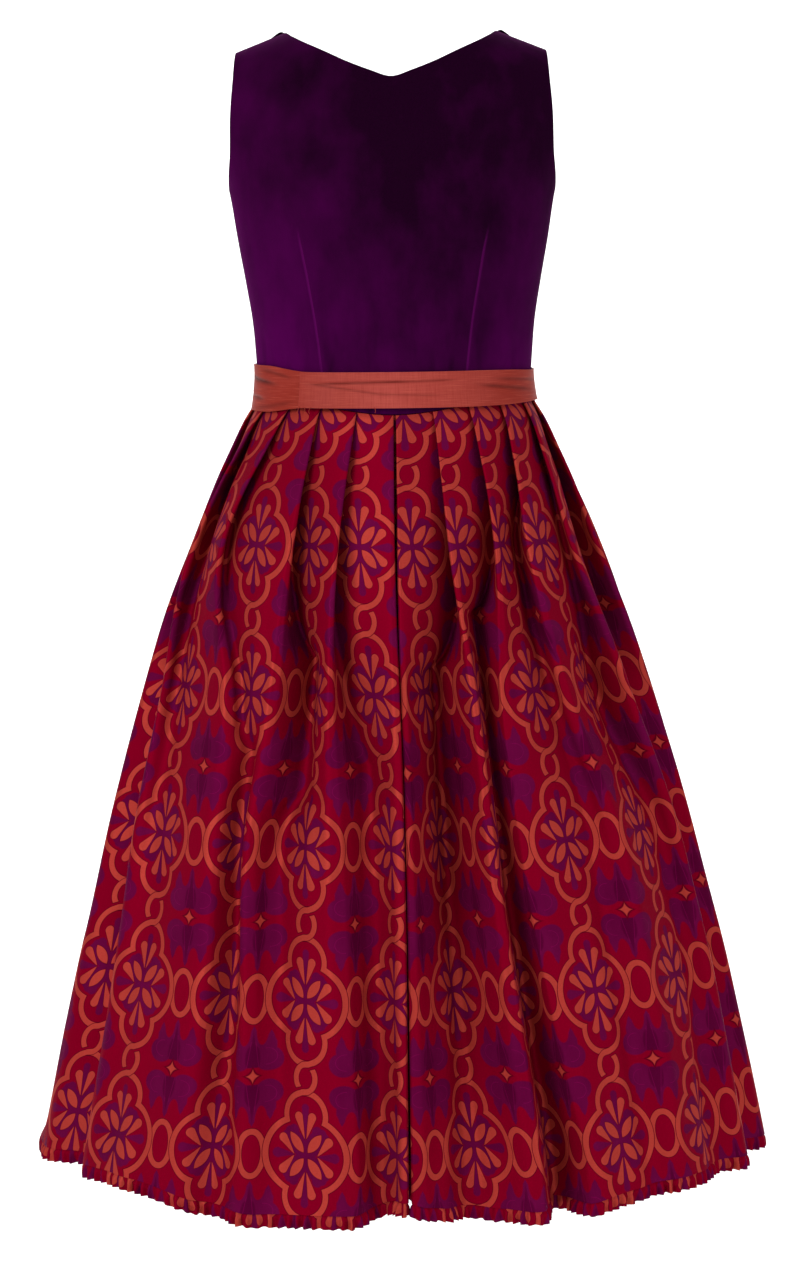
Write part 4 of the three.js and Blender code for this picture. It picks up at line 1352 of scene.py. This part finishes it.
def skirt_face(side, level, section, face, height_of):
    """One face of the cloth: the section moved by face along its normal and laid on
    the rings, then brought to its height and swelled as a ring at that height is."""
    sign = 1 if side == "left" else -1
    place, rise, heading, cloth = section
    off = face + skirt_creases(side, cloth, level[:, None])
    spread = place - np.sin(heading) * off
    raised = rise + np.cos(heading) * off - SKIRT_WALL / 2
    spot = on_ring(level, spread, raised, sign, level[:, None])
    z, swell_z = height_of(spot[..., 0], spot[..., 1])
    size = smooth(HEIGHTS, SKIRT_HALF, level)[:, None]
    raised = raised + smooth(HEIGHTS, SKIRT_HALF, swell_z) - size
    return on_ring(level, spread, raised, sign, z)


def skirt_half(side):
    """Outer and inner grid, place on the cloth, and column of the side seam."""
    sign = 1 if side == "left" else -1
    share = smooth(np.arange(12), ROW_SHARES, np.linspace(0, 11, ROWS))
    level = mix(WAIST_SEAM, SKIRT_HEM, share)
    section, seam = half_section(side, level)
    cloth = section[3]

    def height_of(x, y):
        top = np.where(y > 0, waist_seam(x, 1), WAIST_SEAM)
        z = mix(top, SKIRT_HEM, share[:, None]) - hem_dip(x, y) * share[:, None] ** 3
        return z, z

    faces = (SKIRT_WALL / 2, -SKIRT_WALL / 2)
    grids = [skirt_face(side, level, section, face, height_of) for face in faces]
    past = smooth(EDGE_HEIGHTS, AXIS_PAST_EDGE[side], level)
    first = smooth(EDGE_HEIGHTS, [row[0] for row in EDGE_CLOTH[side]], level)
    across = cloth - (first + past)[:, None] + 2 * PLEAT_CLOTH
    down = (slant(grids[0][..., 2]) - slant(MEDALLION_ROW)) * REPEAT_TALL / ROW_PITCH
    weave = np.stack([across * -sign, down], -1)
    return grids[0], grids[1], weave, seam


def step_back(grid, column, towards, distance):
    """Move one column of a grid a little towards another."""
    moved = grid[:, column] + unit(grid[:, towards] - grid[:, column]) * distance
    out = grid.copy()
    out[:, column] = moved
    return out


# %% Three panels


def make_skirt():
    """The back panel from both halves and the two fronts, each drawn back from its
    side seam and from the middle of the front by half the seam's gap."""
    left, right = skirt_half("left"), skirt_half("right")
    seam = left[3]
    edge = SEAM_GAP / 2

    def back_side(half):
        outer, inner, weave = (grid[:, : seam + 1] for grid in half[:3])
        faces = [step_back(face, seam, seam - 1, edge) for face in (outer, inner)]
        return [*faces, weave]

    joined = [
        np.concatenate([one[:, ::-1], two[:, 1:]], 1)
        for one, two in zip(back_side(left), back_side(right))
    ]
    panels = [cloth_wall("silk_skirt_back", *joined)]
    areas = [cloth_area(joined[0])]
    for name, half in (("silk_skirt_front_left", left), ("silk_skirt_front_right", right)):
        outer, inner, weave = (grid[:, seam:] for grid in half[:3])
        outer = step_back(step_back(outer, 0, 1, edge), -1, -2, edge)
        inner = step_back(step_back(inner, 0, 1, edge), -1, -2, edge)
        panels.append(cloth_wall(name, outer, inner, weave))
        areas.append(cloth_area(outer))
    print("skirt cloth, sq m:", *[round(area, 3) for area in areas])
    for panel in panels:
        panel.data.materials.append(figured_silk)
    return panels


skirt_back, skirt_left, skirt_right = make_skirt()

# %% [markdown]
# ## The hem frill
# The frill is a long narrow strip gathered on a thread and sewn to the hem. It has far
# more cloth than the hem is long, so it stands in small waves that open towards the
# free edge. Its path is the hem's own section, and a wave is added square to it.

# %% Frill
FRILL_WALL = 0.8
FRILL_TALL = 13.0
FRILL_FULLNESS = 1.4
FRILL_TUCK = 2.6
FRILL_WAVES = 240
STEPS_PER_WAVE = 12
# height of the wave at the gathering thread and at the free edge, and how far the
# tucked edge lies behind the hem
WAVE_TOP, WAVE_FOOT = 0.4, 2.4
TUCK_BEHIND = 1.7
# where the design starts on the strip, and how much of it the strip shows
DESIGN_START, DESIGN_TALL = 28, 15


def make_frill():
    """Mid surface = hem path + outward x gathered wave; the wave grows down the
    strip and its size and spacing drift a little from one to the next."""
    level = np.array([SKIRT_HEM])

    def height_of(x, y):
        return level[:, None], SKIRT_HEM - hem_dip(x, y)

    halves = []
    for side in ("left", "right"):
        section, _ = half_section(side, level)
        halves.append(skirt_face(side, level, section, 0, height_of)[0])
    path = np.concatenate([halves[0], halves[1][::-1][1:-1]])
    closed = np.concatenate([path, path[:1]])
    steps = np.linalg.norm(np.diff(closed, axis=0), axis=1)
    lengths = np.concatenate([[0], np.cumsum(steps)])
    count = FRILL_WAVES * STEPS_PER_WAVE
    at = np.arange(count) / count * lengths[-1]
    line = np.stack([np.interp(at, lengths, closed[:, n]) for n in range(3)], -1)
    window = np.array([1, 3, 5, 6, 5, 3, 1.0])
    window /= window.sum()
    shifts = range(-3, 4)
    line = sum(np.roll(line, s, axis=0) * w for s, w in zip(shifts, window))
    ahead = unit(np.roll(line, -2, axis=0) - np.roll(line, 2, axis=0))
    outward = np.cross([0, 0, 1], ahead)
    turn = 2 * np.pi * np.arange(count) / count
    drift = 0.9 * np.sin(turn * 23 + 1.0) + 0.7 * np.sin(turn * 41 + 2.0)
    phase = FRILL_WAVES * turn + drift
    size = 1 + 0.28 * np.sin(turn * 37 + 0.5) + 0.22 * np.sin(turn * 61 + 1.7)
    rows = np.array([0, 0.12, 0.26, 0.42, 0.6, 0.8, 1.0])
    outer, inner = [], []
    for down in rows:
        behind = -TUCK_BEHIND * (1 - ease(down, 0.14, 0.42))
        tall = mix(WAVE_TOP, WAVE_FOOT, ease(down, 0.0, 0.9))
        wave = tall * size * np.cos(phase + 0.5 * down)
        z = mix(FRILL_TUCK, -FRILL_TALL, down) + down * 0.5 * np.sin(phase * 0.5 + 0.6)
        for grid, face in ((outer, FRILL_WALL / 2), (inner, -FRILL_WALL / 2)):
            row = line + outward * (behind + wave + face)[:, None]
            row[:, 2] = SKIRT_HEM - hem_dip(row[:, 0], row[:, 1]) + z
            grid.append(row)
    cut = np.repeat(at[None] * FRILL_FULLNESS, len(rows), 0)
    down = rows[:, None] * DESIGN_TALL + DESIGN_START
    weave = np.stack([cut, np.repeat(down, count, 1)], -1)
    faces = (np.stack(outer), np.stack(inner))
    piece = cloth_wall("silk_hem_frill", *faces, weave, ring=True)
    piece.data.materials.append(figured_silk)
    print("hem path in mm:", round(float(lengths[-1])))
    return piece


frill = make_frill()

# %% [markdown]
# ## What each piece stands for
# Every piece takes the place of the plain solid of the same cut and moves with the
# dress.

# %% Pieces and nodes
PIECES = [
    (back, "bodice_back", "velvet"),
    (front_left, "bodice_front_left", "velvet"),
    (front_right, "bodice_front_right", "velvet"),
    (sash, "waist_sash", "sash_silk"),
    (skirt_back, "skirt_back", "figured_silk"),
    (skirt_left, "skirt_front_left", "figured_silk"),
    (skirt_right, "skirt_front_right", "figured_silk"),
    (frill, "hem_frill", "figured_silk"),
]
for piece, node, slot in PIECES:
    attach(piece, "root")
    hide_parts(node)
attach(sash_threads, "root")

# %% [markdown]
# ## Camera, light and floor
# The dress is seen from behind, a little from above, with a long lens. A soft source
# at the left of the camera models the folds, a weaker one at its right fills the
# shade, and a third one lights the wall. The floor curves up into that plain wall,
# which stands far enough away for the dress to be looked at from the front as well.

# %% Camera
AIM = np.array([-3.0, 0.0, -591.0])
DISTANCE = 3400.0
LOOKS_DOWN = math.radians(7)
ROLL = math.radians(0.6)
SENSOR = 36
PICTURE_TALL = 1262


def turn_to(thing, right, up, backward, spot):
    """Set a camera or a light on its three axes at a place in metres."""
    matrix = np.eye(4)
    matrix[:3, 0], matrix[:3, 1], matrix[:3, 2] = right, up, backward
    matrix[:3, 3] = spot
    thing.matrix_world = matrix.T.tolist()


def place_camera():
    """Axes of the camera: backward from the aim, right across it, up square to both,
    then turned together by a small roll."""
    backward = np.array([0, math.cos(LOOKS_DOWN), math.sin(LOOKS_DOWN)])
    right = unit(np.cross([0, 0, 1.0], backward))
    up = np.cross(backward, right)
    tilted_right = right * math.cos(ROLL) - up * math.sin(ROLL)
    tilted_up = up * math.cos(ROLL) + right * math.sin(ROLL)
    data = bpy.data.cameras.new("camera")
    data.sensor_width = SENSOR
    data.lens = SENSOR * DISTANCE / PICTURE_TALL
    camera = add_object("camera", data)
    turn_to(camera, tilted_right, tilted_up, backward, (AIM + backward * DISTANCE) * MM)
    bpy.context.scene.camera = camera
    print("lens in mm:", round(data.lens, 2))


place_camera()

# %% Floor and light
FLOOR_Z, FLOOR_END, FLOOR_HALF_WIDE = -1750, 8500, 6000
CURVE_START, CURVE_RADIUS = -5500, 2500
WALL_TOP = 6000


def make_floor():
    """Profile: level floor, quarter circle, upright wall; carried straight across."""
    turn = np.linspace(0, np.pi / 2, 24)
    curve_y = CURVE_START - CURVE_RADIUS * np.sin(turn)
    curve_z = FLOOR_Z + CURVE_RADIUS * (1 - np.cos(turn))
    y = [FLOOR_END, *curve_y, CURVE_START - CURVE_RADIUS]
    z = [FLOOR_Z, *curve_z, WALL_TOP]
    sides = (-FLOOR_HALF_WIDE, FLOOR_HALF_WIDE)
    points = np.array([(x, *spot) for spot in zip(y, z) for x in sides]) * MM
    faces = [(2 * n, 2 * n + 1, 2 * n + 3, 2 * n + 2) for n in range(len(y) - 1)]
    mesh = bpy.data.meshes.new("pale_floor")
    mesh.from_pydata(points.tolist(), [], faces)
    mesh.shade_smooth()
    floor = add_object("pale_floor", mesh)
    paint = bpy.data.materials.new("pale_paint")
    paint.use_nodes = True
    shader = paint.node_tree.nodes["Principled BSDF"]
    shader.inputs["Base Color"].default_value = (0.97, 0.97, 0.97, 1)
    shader.inputs["Roughness"].default_value = 0.9
    mesh.materials.append(paint)


def soft_light(name, spot, size, power, aim=(0, 0, -0.6)):
    """Square light: place, size and aim in metres, power in watts. Unless told
    otherwise it is aimed at the middle of the dress."""
    data = bpy.data.lights.new(name, "AREA")
    data.size, data.energy = size, power
    backward = unit(np.array(spot) - np.array(aim))
    right = unit(np.cross([0, 0, 1.0], backward))
    turn_to(add_object(name, data), right, np.cross(backward, right), backward, spot)


make_floor()
soft_light("key", (2.5, 2.95, 1.2), 1.6, 75)
soft_light("fill", (-2.9, 2.2, 0.2), 2.2, 30)
soft_light("wall", (0, -4.2, 3.2), 3.0, 320, (0, -6.6, -1.4))

world = bpy.data.worlds.new("room")
world.use_nodes = True
room = world.node_tree.nodes["Background"]
room.inputs["Color"].default_value = (1, 1, 1, 1)
room.inputs["Strength"].default_value = 0.55
bpy.context.scene.world = world
bpy.context.scene.view_settings.view_transform = "Standard"
